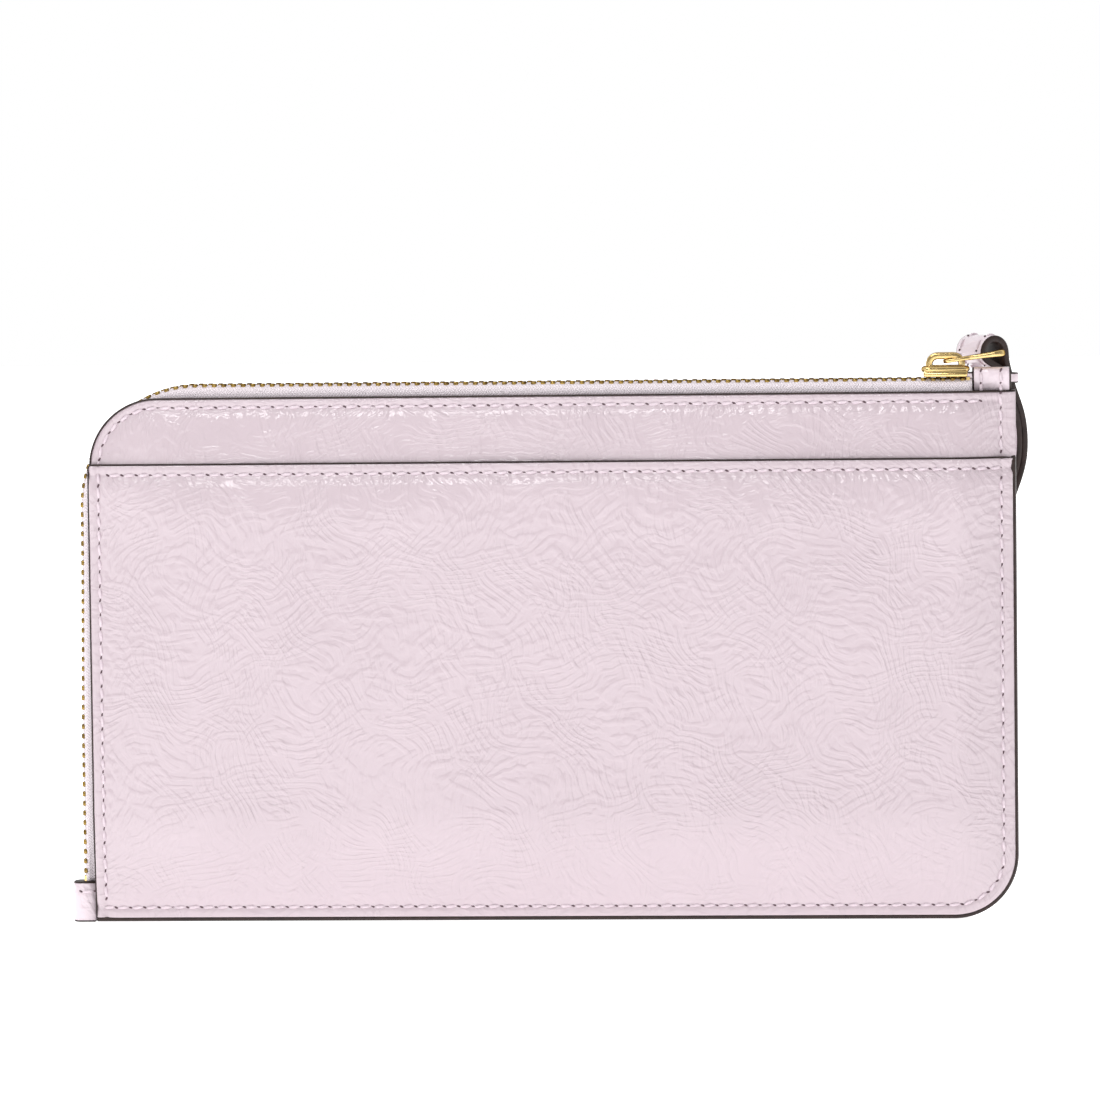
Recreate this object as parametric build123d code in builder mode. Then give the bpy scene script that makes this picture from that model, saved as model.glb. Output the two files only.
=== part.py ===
"""Wristlet wallet: a flat pouch with an L-shaped zipper, a slip pocket and a wrist strap.

Frame: millimetres, +Z up. The wallet stands on its sewn bottom edge at Z = 0. The face with
the slip pocket looks towards -Y, the plain face towards +Y, and the zipper runs along the top
and down the -X side. X = 0 is the middle of the panels, Y = 0 the middle of the zipper.
"""

import math
import os

from build123d import *

# Driving dimensions -------------------------------------------------------------------------

PANEL_W = 208.0  # panels, left edge to right edge
PANEL_H = 118.5  # panels, bottom edge to top edge
ZIP_CORNER_R = 15.5  # top left corner of the panels
SEAM_CORNER_R = 14.5  # bottom right corner of the panels
SEAM_BEAD = 0.9  # depth of the painted bead along the bottom and the right side
MOUTH_DROP = 14.7  # pocket mouth below the panels' top edge
POCKET_STEP = 0.3  # how far the pocket reaches past the panel on the left

LEATHER_T = 1.0
BOARD_T = 0.5
LINING_T = 0.4
SLOT_T = 0.5
PLY_GAP = 0.05  # air between neighbouring plies

# The pouch is thin at the sewn edges, wider at the zipper and widest in the middle.
CROWN = 4.2  # half of the cavity in the middle
ZIP_EDGE_SHARE = 0.57  # half cavity along the zipper, as a share of the crown
SIDE_RISE = 14.0  # distance from the right seam to full width
BASE_RISE = 26.0  # distance from the bottom seam to full width
ZIP_RISE = 30.0  # distance from the zipper edges to full width

CHAIN_OUT = 2.5  # middle of the teeth outside the panel edges
CHAIN_R = 25.0  # corner radius of the chain, which dips behind the panels' corner
TOOTH_PITCH = 2.18
TOOTH_LEN = 1.25  # along the chain
FIRST_TOOTH = 1.4  # from the closed end of the chain
LAST_TOOTH = 3.2  # above the lower end tab
TOOTH_DEPTH = 0.95  # square to the chain, in the plane of the panels
TOOTH_REACH = 1.95  # from the middle slit to the outside of the chain
CHAIN_SLIT = 0.25  # half of the slit between the two rows of teeth
STOP_LEN = 1.2  # bottom stop, along the chain
TAPE_T = 0.4
TAPE_CLEAR = 0.05
TAPE_SEWN = 6.5  # how far the tape reaches inside the panel edge

TAB_H = 9.2  # lower end tab
TAB_REACH = 5.5  # lower end tab, left of the panels
TAB_HALF_T = 2.6
TAB_CLEAR = 0.1  # between an end tab and the tape
UPPER_TAB_X = (93.9, 102.2)
UPPER_TAB_RISE = 5.15
UPPER_TAB_HALF_T = 1.6

SLIDER_X = 88.4  # middle of the slider, zipper closed
SLIDER_LEN = 10.8
SLIDER_HALF_W = 3.5
PLATE_CLEAR = 0.15  # between the teeth and the inner plate
SLIDER_TOP = 124.0
PLATE_T = 1.3
FLANGE_LEN = 8.4
FLANGE_T = 0.85
FLANGE_DROP = 2.4
INNER_PLATE_LEN = 9.8
INNER_PLATE_HALF_W = 1.65
INNER_PLATE_T = 0.8
WEB_T = 0.3  # wall between the plates, thin enough for the slit between the teeth
OVERLAP = 0.2  # how far the slider's pieces run into each other
BRIDGE_LEN = 8.8
BRIDGE_W = 2.2
BRIDGE_H = 3.0
BRIDGE_T = 0.95

PULL_AXIS_Z = 125.0
PULL_TILT = 8.0  # degrees above level, at rest
PULL_LEN = 13.8
PULL_W = 4.8
PULL_T = 0.85
EYE_LEN = 4.9
EYE_W = 2.6
PULL_CLEAR = 0.02

STRAP_W = 10.0
STRAP_T = 1.5
STRAP_TURN = 35.0  # upper part of the strap, turned about Z from the panels' plane
STRAP_X = 97.0  # axis of the strap's upper loop
STRAP_Y = 12.7
WRIST_LOOP_Y = 13.6  # middle of the wrist loop, which hangs level with the panels
LOOP_R = 3.6  # outside of the upper loop
LOOP_TOP_Z = 130.3
KEEPER_Z = 119.9
KEEPER_H = 2.4
KEEPER_T = 0.8
KEEPER_SLACK = 3.2  # room for the two legs, which part above the keeper
STRAP_PIVOT_X = 98.6
ANCHOR_Y = (1.7, 6.4)
ANCHOR_W = 7.0
ANCHOR_H = 2.4

CARD_X = (-90.0, 86.0)  # both columns of card slots
CARD_Z = (17.0, 104.0)
SLOT_MOUTHS = (94.0, 82.0, 70.0)  # upper, middle, lower
NOTE_X = (-88.0, 84.0)
NOTE_Z = (17.0, 96.0)

LEFT = -PANEL_W / 2
RIGHT = PANEL_W / 2
TOP = PANEL_H
EDGE_R = RIGHT - SEAM_BEAD
EDGE_Z = SEAM_BEAD
ZIP_CORNER = (LEFT + ZIP_CORNER_R, TOP - ZIP_CORNER_R)
CHAIN_CENTRE = (LEFT - CHAIN_OUT + CHAIN_R, TOP + CHAIN_OUT - CHAIN_R)
CHAIN_END_X = UPPER_TAB_X[0] - 0.3
REACH_Y = 40.0  # longer than any depth that is cut


def rise(distance, length):
    """Smooth step from 0 at the edge to 1 at the given length inside it."""
    share = min(max(distance / length, 0.0), 1.0)
    return math.sin(share * math.pi / 2) ** 2


def half_cavity(x, z):
    """Distance from the middle plane to a lining."""
    seams = rise(RIGHT - x, SIDE_RISE) * rise(z, BASE_RISE)
    zips = rise(x - LEFT, ZIP_RISE) * rise(TOP - z, ZIP_RISE)
    return PLY_GAP / 2 + CROWN * seams * (ZIP_EDGE_SHARE + (1 - ZIP_EDGE_SHARE) * zips)


def ply_face(side, depth):
    """The curved face that lies the given depth outside a lining's inner face."""
    margin = 8.0
    columns, rows = 54, 32
    points = []
    for i in range(columns + 1):
        x = LEFT - margin + (PANEL_W + 2 * margin) * i / columns
        line = []
        for j in range(rows + 1):
            z = -margin + (PANEL_H + 2 * margin) * j / rows
            line.append(Vector(x, side * (half_cavity(x, z) + depth), z))
        points.append(line)
    return Face.make_surface_from_array_of_points(points, tol=0.01)


def make_ply(side, depth, thickness, outline):
    """A sheet of even thickness that follows the pouch, trimmed to its outline."""
    with BuildPart() as ply:
        extrude(ply_face(side, depth), amount=thickness, dir=(0, side, 0))
        extrude(outline, amount=REACH_Y, both=True, mode=Mode.INTERSECT)
    return ply


# Outlines, drawn in the XZ plane ------------------------------------------------------------


def panel_outline():
    """Panels: round at the top left and at the bottom right."""
    corner_r = SEAM_CORNER_R - SEAM_BEAD
    with BuildSketch(Plane.XZ) as outline:
        with BuildLine():
            Line((LEFT, EDGE_Z), (LEFT, ZIP_CORNER[1]))
            RadiusArc((LEFT, ZIP_CORNER[1]), (ZIP_CORNER[0], TOP), ZIP_CORNER_R)
            Polyline((ZIP_CORNER[0], TOP), (EDGE_R, TOP), (EDGE_R, EDGE_Z + corner_r))
            RadiusArc((EDGE_R, EDGE_Z + corner_r), (EDGE_R - corner_r, EDGE_Z), corner_r)
            Line((EDGE_R - corner_r, EDGE_Z), (LEFT, EDGE_Z))
        make_face()
    return outline.sketch


def pocket_outline():
    """Slip pocket: the panel below the mouth, a little wider on the left."""
    left = LEFT - POCKET_STEP
    mouth = TOP - MOUTH_DROP
    corner_r = SEAM_CORNER_R - SEAM_BEAD
    with BuildSketch(Plane.XZ) as outline:
        with BuildLine():
            Polyline((left, EDGE_Z), (left, mouth), (EDGE_R, mouth), (EDGE_R, EDGE_Z + corner_r))
            RadiusArc((EDGE_R, EDGE_Z + corner_r), (EDGE_R - corner_r, EDGE_Z), corner_r)
            Line((EDGE_R - corner_r, EDGE_Z), (left, EDGE_Z))
        make_face()
    return outline.sketch


def inset_outline():
    """Linings and boards: the panel less the band where the zipper tape is sewn."""
    inset = TAPE_SEWN + 2 * TAPE_CLEAR
    radius = CHAIN_R - CHAIN_OUT - inset
    corner_r = SEAM_CORNER_R - SEAM_BEAD
    left = LEFT + inset
    top = TOP - inset
    with BuildSketch(Plane.XZ) as outline:
        with BuildLine():
            Line((left, EDGE_Z), (left, top - radius))
            RadiusArc((left, top - radius), (left + radius, top), radius)
            Polyline((left + radius, top), (EDGE_R, top), (EDGE_R, EDGE_Z + corner_r))
            RadiusArc((EDGE_R, EDGE_Z + corner_r), (EDGE_R - corner_r, EDGE_Z), corner_r)
            Line((EDGE_R - corner_r, EDGE_Z), (left, EDGE_Z))
        make_face()
    return outline.sketch


def tape_outline():
    """Zipper tape: an L-shaped band from inside the panels out to the teeth."""
    cx, cz = CHAIN_CENTRE
    outer_r = CHAIN_R - TOOTH_DEPTH / 2 - TAPE_CLEAR
    inner_r = CHAIN_R - CHAIN_OUT - TAPE_SEWN
    end_x = UPPER_TAB_X[0] - TAB_CLEAR
    end_z = TAB_H + TAB_CLEAR
    with BuildSketch(Plane.XZ) as outline:
        with BuildLine():
            Line((cx - outer_r, end_z), (cx - outer_r, cz))
            RadiusArc((cx - outer_r, cz), (cx, cz + outer_r), outer_r)
            Polyline((cx, cz + outer_r), (end_x, cz + outer_r), (end_x, cz + inner_r))
            Line((end_x, cz + inner_r), (cx, cz + inner_r))
            RadiusArc((cx, cz + inner_r), (cx - inner_r, cz), -inner_r)
            Polyline((cx - inner_r, cz), (cx - inner_r, end_z), (cx - outer_r, end_z))
        make_face()
    return outline.sketch


def block_outline(x_range, z_range, corner_r=3.0):
    """Rounded rectangle between two X and two Z limits."""
    with BuildSketch(Plane.XZ) as outline:
        with Locations((sum(x_range) / 2, sum(z_range) / 2)):
            RectangleRounded(x_range[1] - x_range[0], z_range[1] - z_range[0], corner_r)
    return outline.sketch


def finish(piece, name):
    """Label a finished piece and write its STEP file."""
    piece.part.label = name
    export_step(piece.part, f"parts/{name}.step")


os.makedirs("parts", exist_ok=True)

# Linings, boards and leather, from the inside out -------------------------------------------

board_depth = LINING_T + PLY_GAP
leather_depth = board_depth + BOARD_T + PLY_GAP
pocket_depth = leather_depth + LEATHER_T + PLY_GAP

for side_name, side in (("back", -1), ("front", 1)):
    finish(make_ply(side, 0.0, LINING_T, inset_outline()), f"{side_name}_lining")
    finish(make_ply(side, board_depth, BOARD_T, inset_outline()), f"{side_name}_board")
    finish(make_ply(side, leather_depth, LEATHER_T, panel_outline()), f"{side_name}_panel")
    finish(make_ply(side, 0.0, TAPE_T, tape_outline()), f"zipper_tape_{side_name}")

finish(make_ply(-1, pocket_depth, LEATHER_T, pocket_outline()), "slip_pocket_panel")

# Card slots on the back lining and the note pocket on the front lining ----------------------

slot_depth = -(SLOT_T + PLY_GAP)
slot_tops = {"backing": CARD_Z[1]}
slot_tops.update(zip(("upper", "middle", "lower"), SLOT_MOUTHS))
for level, (slot_name, slot_top) in enumerate(slot_tops.items(), start=1):
    slot_area = block_outline(CARD_X, (CARD_Z[0], slot_top))
    finish(make_ply(-1, level * slot_depth, SLOT_T, slot_area), f"card_slot_{slot_name}")

finish(make_ply(1, slot_depth, SLOT_T, block_outline(NOTE_X, NOTE_Z)), "note_pocket")

# Painted bead along the sewn edges ----------------------------------------------------------

stack_back = PLY_GAP / 2 + pocket_depth + LEATHER_T
stack_front = PLY_GAP / 2 + leather_depth + LEATHER_T

with BuildPart() as seam_edge_paint:
    with BuildSketch(Plane.XZ.offset(-stack_front)):
        with BuildLine():
            inner_r = SEAM_CORNER_R - SEAM_BEAD + PLY_GAP
            inner_x = EDGE_R + PLY_GAP
            inner_z = EDGE_Z - PLY_GAP
            corner = (RIGHT - SEAM_CORNER_R, SEAM_CORNER_R)
            Polyline((LEFT, 0), (corner[0], 0))
            RadiusArc((corner[0], 0), (RIGHT, corner[1]), -SEAM_CORNER_R)
            Polyline((RIGHT, corner[1]), (RIGHT, TOP), (inner_x, TOP), (inner_x, corner[1]))
            RadiusArc((inner_x, corner[1]), (corner[0], inner_z), inner_r)
            Polyline((corner[0], inner_z), (LEFT, inner_z), (LEFT, 0))
        make_face()
    extrude(amount=stack_front + stack_back)

# End tabs: leather folded over the two ends of the zipper -----------------------------------

with BuildPart() as lower_end_tab:
    tab_right = LEFT - POCKET_STEP - PLY_GAP
    tab_area = block_outline((LEFT - TAB_REACH, tab_right), (0, TAB_H), 0.4)
    extrude(tab_area, amount=TAB_HALF_T, both=True)
    outer_edges = lower_end_tab.faces().sort_by(Axis.X)[0].edges().filter_by(Axis.Z)
    fillet(outer_edges, radius=1.8)

with BuildPart() as upper_end_tab:
    tab_area = block_outline(UPPER_TAB_X, (TOP + PLY_GAP, TOP + UPPER_TAB_RISE), 0.4)
    extrude(tab_area, amount=UPPER_TAB_HALF_T, both=True)
    top_edges = upper_end_tab.faces().sort_by(Axis.Z)[-1].edges().filter_by(Axis.X)
    fillet(top_edges, radius=1.2)

# Zipper chain -------------------------------------------------------------------------------


def chain_places(shift):
    """Where the teeth of one row sit, from the closed end; local X runs along the chain."""
    cx, cz = CHAIN_CENTRE
    top_run = CHAIN_END_X - cx
    arc_run = CHAIN_R * math.pi / 2
    side_run = cz - TAB_H - LAST_TOOTH
    places = []
    for i in range(int((top_run + arc_run + side_run - shift) / TOOTH_PITCH)):
        run = shift + i * TOOTH_PITCH
        turn = min(max((run - top_run) / CHAIN_R, 0.0), math.pi / 2)
        past_arc = max(run - top_run - arc_run, 0.0)
        x = max(CHAIN_END_X - run, cx) - CHAIN_R * math.sin(turn)
        z = cz + CHAIN_R * math.cos(turn) - past_arc
        places.append(Location((x, 0, z), (0, -math.degrees(turn), 0)))
    return places


def make_teeth(side, shift):
    """One row of teeth on one side of the slit."""
    with BuildPart() as tooth:
        with BuildSketch(Plane.XZ.offset(-side * CHAIN_SLIT)):
            RectangleRounded(TOOTH_LEN, TOOTH_DEPTH, 0.2)
        extrude(amount=-side * TOOTH_REACH)
    with BuildPart() as row:
        with Locations(*chain_places(shift)):
            add(tooth.part)
    return row


finish(make_teeth(-1, FIRST_TOOTH), "zipper_teeth_back")
finish(make_teeth(1, FIRST_TOOTH + TOOTH_PITCH / 2), "zipper_teeth_front")

with BuildPart() as zipper_top_stops:
    chain_z = TOP + CHAIN_OUT
    for side in (-1, 1):
        stop_y = side * (CHAIN_SLIT + TOOTH_REACH / 2)
        with BuildSketch(Plane.XY.offset(chain_z - TOOTH_DEPTH / 2)):
            with Locations((CHAIN_END_X - 0.2, stop_y)):
                RectangleRounded(0.9, TOOTH_REACH - 0.2, 0.2)
        extrude(amount=TOOTH_DEPTH)

with BuildPart() as zipper_bottom_stop:
    chain_x = LEFT - CHAIN_OUT
    with BuildSketch(Plane.XY.offset(TAB_H + TAB_CLEAR)):
        with Locations((chain_x, 0)):
            RectangleRounded(TOOTH_DEPTH, 2 * TOOTH_REACH, 0.3)
    extrude(amount=STOP_LEN)

# Slider: two plates, side flanges, a thin web in the slit and a bridge for the pull ----------

plate_bottom = SLIDER_TOP - PLATE_T
inner_plate_top = TOP + CHAIN_OUT - TOOTH_DEPTH / 2 - PLATE_CLEAR

with BuildPart() as zipper_slider:
    with BuildSketch(Plane.XY.offset(plate_bottom)):
        with Locations((SLIDER_X, 0)):
            RectangleRounded(SLIDER_LEN, 2 * SLIDER_HALF_W, 1.6)
    extrude(amount=PLATE_T)
    fillet(zipper_slider.faces().sort_by(Axis.Z)[-1].edges(), radius=0.5)
    for side in (-1, 1):
        with BuildSketch(Plane.XY.offset(SLIDER_TOP - FLANGE_DROP)):
            with Locations((SLIDER_X, side * (SLIDER_HALF_W - FLANGE_T / 2))):
                RectangleRounded(FLANGE_LEN, FLANGE_T, 0.3)
        extrude(amount=FLANGE_DROP - PLATE_T + OVERLAP)
    with BuildSketch(Plane.XY.offset(inner_plate_top - INNER_PLATE_T)):
        with Locations((SLIDER_X, 0)):
            RectangleRounded(INNER_PLATE_LEN, 2 * INNER_PLATE_HALF_W, 0.8)
    extrude(amount=INNER_PLATE_T)
    with BuildSketch(Plane.XY.offset(inner_plate_top - OVERLAP / 2)):
        with Locations((SLIDER_X + SLIDER_LEN / 4, 0)):
            Rectangle(SLIDER_LEN / 3, WEB_T)
    extrude(amount=plate_bottom - inner_plate_top + OVERLAP)
    with BuildSketch(Plane.XZ):
        with Locations((SLIDER_X, SLIDER_TOP + (BRIDGE_H - OVERLAP) / 2)):
            RectangleRounded(BRIDGE_LEN, BRIDGE_H + OVERLAP, 1.4)
        with Locations((SLIDER_X, SLIDER_TOP + (BRIDGE_H - BRIDGE_T) / 2)):
            RectangleRounded(BRIDGE_LEN - 2 * BRIDGE_T, BRIDGE_H - BRIDGE_T, 0.7, mode=Mode.SUBTRACT)
    extrude(amount=BRIDGE_W / 2, both=True)

# Pull: a flat plate whose eye hangs in the bridge -------------------------------------------

pull_plane = Plane.XY.rotated((0, -PULL_TILT, 0))
pull_plane.origin = (SLIDER_X, 0, PULL_AXIS_Z)
bar_half = PULL_T / 2 - PULL_CLEAR

with BuildPart() as zipper_pull:
    with BuildSketch(pull_plane):
        with Locations(((PULL_LEN - bar_half) / 2, 0)):
            RectangleRounded(PULL_LEN + bar_half, PULL_W, 1.9)
        with Locations((bar_half + EYE_LEN / 2, 0)):
            RectangleRounded(EYE_LEN, EYE_W, 0.5, mode=Mode.SUBTRACT)
    extrude(amount=PULL_T / 2, both=True)
    fillet(zipper_pull.edges().group_by(Axis.X)[0], radius=0.15)

# Wrist strap --------------------------------------------------------------------------------
# The upper part lies in a plane turned from the panels, the lower loop hangs level with them.

upper_plane = Plane(
    origin=(STRAP_X, STRAP_Y, 0),
    x_dir=(math.cos(math.radians(STRAP_TURN)), math.sin(math.radians(STRAP_TURN)), 0),
    z_dir=(math.sin(math.radians(STRAP_TURN)), -math.cos(math.radians(STRAP_TURN)), 0),
)
lower_plane = Plane(origin=(0, WRIST_LOOP_Y, 0), x_dir=(1, 0, 0), z_dir=(0, -1, 0))

KEEPER_S = (STRAP_PIVOT_X - STRAP_X) / math.cos(math.radians(STRAP_TURN))
STEM = STRAP_T  # half thickness of the two legs where they lie against each other
JOIN_X, JOIN_Z = 101.0, 94.0  # where the turned part meets the level part
BULGE_S, BULGE_Z = 6.2, 104.0  # the stem's furthest point from the panels' side
FOOT_X, FOOT_Z = 93.0, 5.6  # lowest point of the wrist loop
LOOP_RIGHT = ((102.9, 62.0), (102.4, 28.0))  # outside of the wrist loop, from the top
LOOP_LEFT = ((83.0, 26.0), (90.5, 62.0))  # outside of the wrist loop, from the foot
TIP_DROP = 12.0  # where the legs part, below the join
EYE_FOOT = 1.6  # lowest point of the upper loop's eye, above the middle of the keeper
STRAP_SIDES = 0.3  # clearance across the strap in the keeper

with BuildPart() as wrist_strap:
    join_s = (JOIN_X - STRAP_X) / math.cos(math.radians(STRAP_TURN))
    crown_z = LOOP_TOP_Z - LOOP_R
    eye_r = LOOP_R - STRAP_T
    with BuildSketch(upper_plane):
        with BuildLine():
            Spline(
                (join_s - STEM, JOIN_Z), (BULGE_S - STEM, BULGE_Z), (KEEPER_S - STEM, KEEPER_Z),
                (-LOOP_R, crown_z), tangents=((0.25, 1), (0, 1)),
            )
            RadiusArc((-LOOP_R, crown_z), (LOOP_R, crown_z), LOOP_R)
            Spline(
                (LOOP_R, crown_z), (KEEPER_S + STEM, KEEPER_Z), (BULGE_S + STEM, BULGE_Z),
                (join_s + STEM, JOIN_Z), tangents=((0, -1), (-0.25, -1)),
            )
            Line((join_s + STEM, JOIN_Z), (join_s - STEM, JOIN_Z))
        make_face()
        with BuildLine():
            eye_foot = (KEEPER_S, KEEPER_Z + EYE_FOOT)
            Spline(eye_foot, (-eye_r, crown_z), tangents=((-0.4, 1), (0, 1)))
            RadiusArc((-eye_r, crown_z), (eye_r, crown_z), eye_r)
            Spline((eye_r, crown_z), eye_foot, tangents=((0, -1), (0, -1)))
        make_face(mode=Mode.SUBTRACT)
    extrude(amount=STRAP_W / 2, both=True)
    with BuildSketch(lower_plane):
        outer_tip, inner_tip = (JOIN_X, JOIN_Z + 0.5), (JOIN_X - 0.45, JOIN_Z + 0.5 - TIP_DROP)
        for inset, tip, stem in ((0.0, outer_tip, STEM), (STRAP_T, inner_tip, 0.01)):
            foot = (FOOT_X, FOOT_Z + inset)
            with BuildLine():
                right = Spline(
                    (tip[0] + stem, tip[1]), *[(x - inset, z) for x, z in LOOP_RIGHT], foot,
                    tangents=((-0.1, -1), (-1, 0)),
                )
                left = Spline(
                    foot, *[(x + inset, z) for x, z in LOOP_LEFT], (tip[0] - stem, tip[1]),
                    tangents=((-1, 0), (0.25, 1)),
                )
                Line(left @ 1, right @ 0)
            make_face(mode=Mode.SUBTRACT if inset else Mode.ADD)
    extrude(amount=STRAP_W / 2, both=True)

keeper_in = 2 * STEM + KEEPER_SLACK
keeper_across = STRAP_W + STRAP_SIDES
with BuildPart() as strap_keeper:
    keeper_plane = Plane(
        origin=(STRAP_PIVOT_X, STRAP_Y + KEEPER_S * math.sin(math.radians(STRAP_TURN)), KEEPER_Z),
        x_dir=upper_plane.x_dir, z_dir=(0, 0, 1),
    )
    with BuildSketch(keeper_plane.offset(-KEEPER_H / 2)):
        RectangleRounded(keeper_in + 2 * KEEPER_T, keeper_across + 2 * KEEPER_T, 1.0)
        RectangleRounded(keeper_in, keeper_across, 0.3, mode=Mode.SUBTRACT)
    extrude(amount=KEEPER_H)

# Anchor: a leather tab from the top right corner back to the strap, which turns on its end.

with BuildPart() as strap_anchor_tab:
    with BuildSketch(Plane.XZ.offset(-ANCHOR_Y[0])):
        with Locations((STRAP_PIVOT_X, KEEPER_Z)):
            RectangleRounded(ANCHOR_W, ANCHOR_H, 0.9)
    extrude(amount=ANCHOR_Y[0] - ANCHOR_Y[1])

for piece, name in (
    (seam_edge_paint, "seam_edge_paint"),
    (lower_end_tab, "lower_end_tab"),
    (upper_end_tab, "upper_end_tab"),
    (zipper_top_stops, "zipper_top_stops"),
    (zipper_bottom_stop, "zipper_bottom_stop"),
    (zipper_slider, "zipper_slider"),
    (zipper_pull, "zipper_pull"),
    (wrist_strap, "wrist_strap"),
    (strap_keeper, "strap_keeper"),
    (strap_anchor_tab, "strap_anchor_tab"),
):
    finish(piece, name)
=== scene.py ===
"""Looks of the wristlet wallet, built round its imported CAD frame.

Shapes are worked out in millimetres, in the frame's axes (+Z up, the slip pocket faces -Y), and
written to Blender in metres.
"""

import math

import bpy
import numpy as np
from mathutils import Matrix, Vector


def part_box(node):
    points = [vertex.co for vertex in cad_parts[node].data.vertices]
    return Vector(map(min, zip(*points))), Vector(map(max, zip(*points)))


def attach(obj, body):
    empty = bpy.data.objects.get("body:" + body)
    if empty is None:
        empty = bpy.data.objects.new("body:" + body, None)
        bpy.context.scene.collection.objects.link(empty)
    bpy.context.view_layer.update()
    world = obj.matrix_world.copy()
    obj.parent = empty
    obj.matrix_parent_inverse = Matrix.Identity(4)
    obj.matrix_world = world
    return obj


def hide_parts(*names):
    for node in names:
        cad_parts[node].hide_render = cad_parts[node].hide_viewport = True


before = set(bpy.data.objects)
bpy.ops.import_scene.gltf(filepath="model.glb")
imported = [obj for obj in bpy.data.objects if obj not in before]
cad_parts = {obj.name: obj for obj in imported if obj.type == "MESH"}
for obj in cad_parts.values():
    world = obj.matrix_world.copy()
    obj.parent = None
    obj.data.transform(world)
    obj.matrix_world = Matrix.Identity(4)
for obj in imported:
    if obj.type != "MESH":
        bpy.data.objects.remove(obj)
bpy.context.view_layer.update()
MM = 0.001
rng = np.random.default_rng(11)


def node_box(node):
    """Lowest and highest corner of a CAD node, in millimetres."""
    low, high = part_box(node)
    return np.array(low) / MM, np.array(high) / MM


# --- Sizes that the frame gives ---

front_low, front_high = node_box("front_panel")
pocket_low, pocket_high = node_box("slip_pocket_panel")
seam_low, seam_high = node_box("seam_edge_paint")
LEFT, RIGHT, TOP = front_low[0], seam_high[0], front_high[2]
EDGE_R, EDGE_Z = front_high[0], front_low[2]
POCKET_LEFT, MOUTH_Z = pocket_low[0], pocket_high[2]

# Sizes that the CAD was drawn with
PLY_GAP = 0.05
LEATHER_T = 1.0
TAPE_T = 0.4
CROWN, ZIP_EDGE_SHARE = 4.2, 0.57  # the cavity's half depth, and its share at the zipper
SIDE_RISE, BASE_RISE, ZIP_RISE = 14.0, 26.0, 30.0  # how far from an edge it grows to that
PANEL_DEPTH = 1.0  # board and lining under a panel's leather
POCKET_DEPTH = PANEL_DEPTH + LEATHER_T + PLY_GAP
ZIP_CORNER_R = 15.5
SEAM_CORNER_R = 14.5
BR_R = SEAM_CORNER_R - (RIGHT - EDGE_R)
CHAIN_OUT = 2.5  # the chain's middle line outside the panels
CHAIN_END_X = 93.6
TOOTH_PITCH = 2.18
FIRST_TOOTH = 1.4

CHAIN_R = 27.0  # round the corner; the CAD has 25
CHAIN_CENTRE = (LEFT - CHAIN_OUT + CHAIN_R, TOP + CHAIN_OUT - CHAIN_R)

# Sewing
STITCH_PITCH = 3.23
STITCH_LEN = 2.45
STITCH_W, STITCH_T = 0.72, 0.54
STITCH_ARCH, STITCH_DIVE = 0.36, 0.16  # height of its arch, and how deep its ends lie
TOP_SEAM = 2.25  # stitches inside the top and left edges
SIDE_SEAM = 2.5  # stitches inside the right and bottom edges


# --- Shape helpers ---


def smooth(share):
    share = np.clip(share, 0.0, 1.0)
    return share * share * (3 - 2 * share)


def rise(distance, length):
    return np.sin(np.clip(distance / length, 0.0, 1.0) * math.pi / 2) ** 2


def half_cavity(x, z):
    """The CAD's own formula for the distance from the middle plane to a lining."""
    seams = rise(RIGHT - x, SIDE_RISE) * rise(z, BASE_RISE)
    zips = rise(x - LEFT, ZIP_RISE) * rise(TOP - z, ZIP_RISE)
    return PLY_GAP / 2 + CROWN * seams * (ZIP_EDGE_SHARE + (1 - ZIP_EDGE_SHARE) * zips)


def unit(vectors):
    vectors = np.asarray(vectors, float)
    return vectors / np.linalg.norm(vectors, axis=-1, keepdims=True)


def volume(verts, faces):
    """Signed volume, which says whether the faces look outwards."""
    total = 0.0
    for face in faces:
        a = verts[face[0]]
        for b, c in zip(face[1:-1], face[2:]):
            total += np.dot(a, np.cross(verts[b], verts[c]))
    return total


def outward(verts, faces):
    """The same closed shape with its faces turned to look outwards."""
    verts = np.asarray(verts, float)
    centred = verts - verts.mean(axis=0)
    if volume(centred, faces) < 0:
        faces = [face[::-1] for face in faces]
    return verts, faces


def join(shapes):
    """Several shapes as one."""
    verts, faces, start = [], [], 0
    for shape_verts, shape_faces in shapes:
        verts.append(shape_verts)
        faces.extend([[v + start for v in face] for face in shape_faces])
        start += len(shape_verts)
    return np.concatenate(verts), faces


def copies(shape, origins, xs, ys, zs):
    """One copy of a shape at every origin, turned to the given axes."""
    verts, faces = shape
    placed = (
        origins[:, None, :]
        + verts[None, :, 0:1] * xs[:, None, :]
        + verts[None, :, 1:2] * ys[:, None, :]
        + verts[None, :, 2:3] * zs[:, None, :]
    ).reshape(-1, 3)
    if np.dot(np.cross(xs[0], ys[0]), zs[0]) < 0:
        faces = [face[::-1] for face in faces]
    count = len(verts)
    all_faces = [[v + i * count for v in face] for i in range(len(origins)) for face in faces]
    return placed, all_faces


def rings_solid(rings, closed=False):
    """Skin over rings with equal numbers of points; open ends are capped."""
    rings = np.asarray(rings, float)
    count, size = rings.shape[:2]
    faces = []
    for i in range(count if closed else count - 1):
        a, b = i * size, ((i + 1) % count) * size
        for j in range(size):
            k = (j + 1) % size
            faces.append([a + j, a + k, b + k, b + j])
    if not closed:
        faces.append(list(range(size))[::-1])
        faces.append([(count - 1) * size + j for j in range(size)])
    return outward(rings.reshape(-1, 3), faces)


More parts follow.
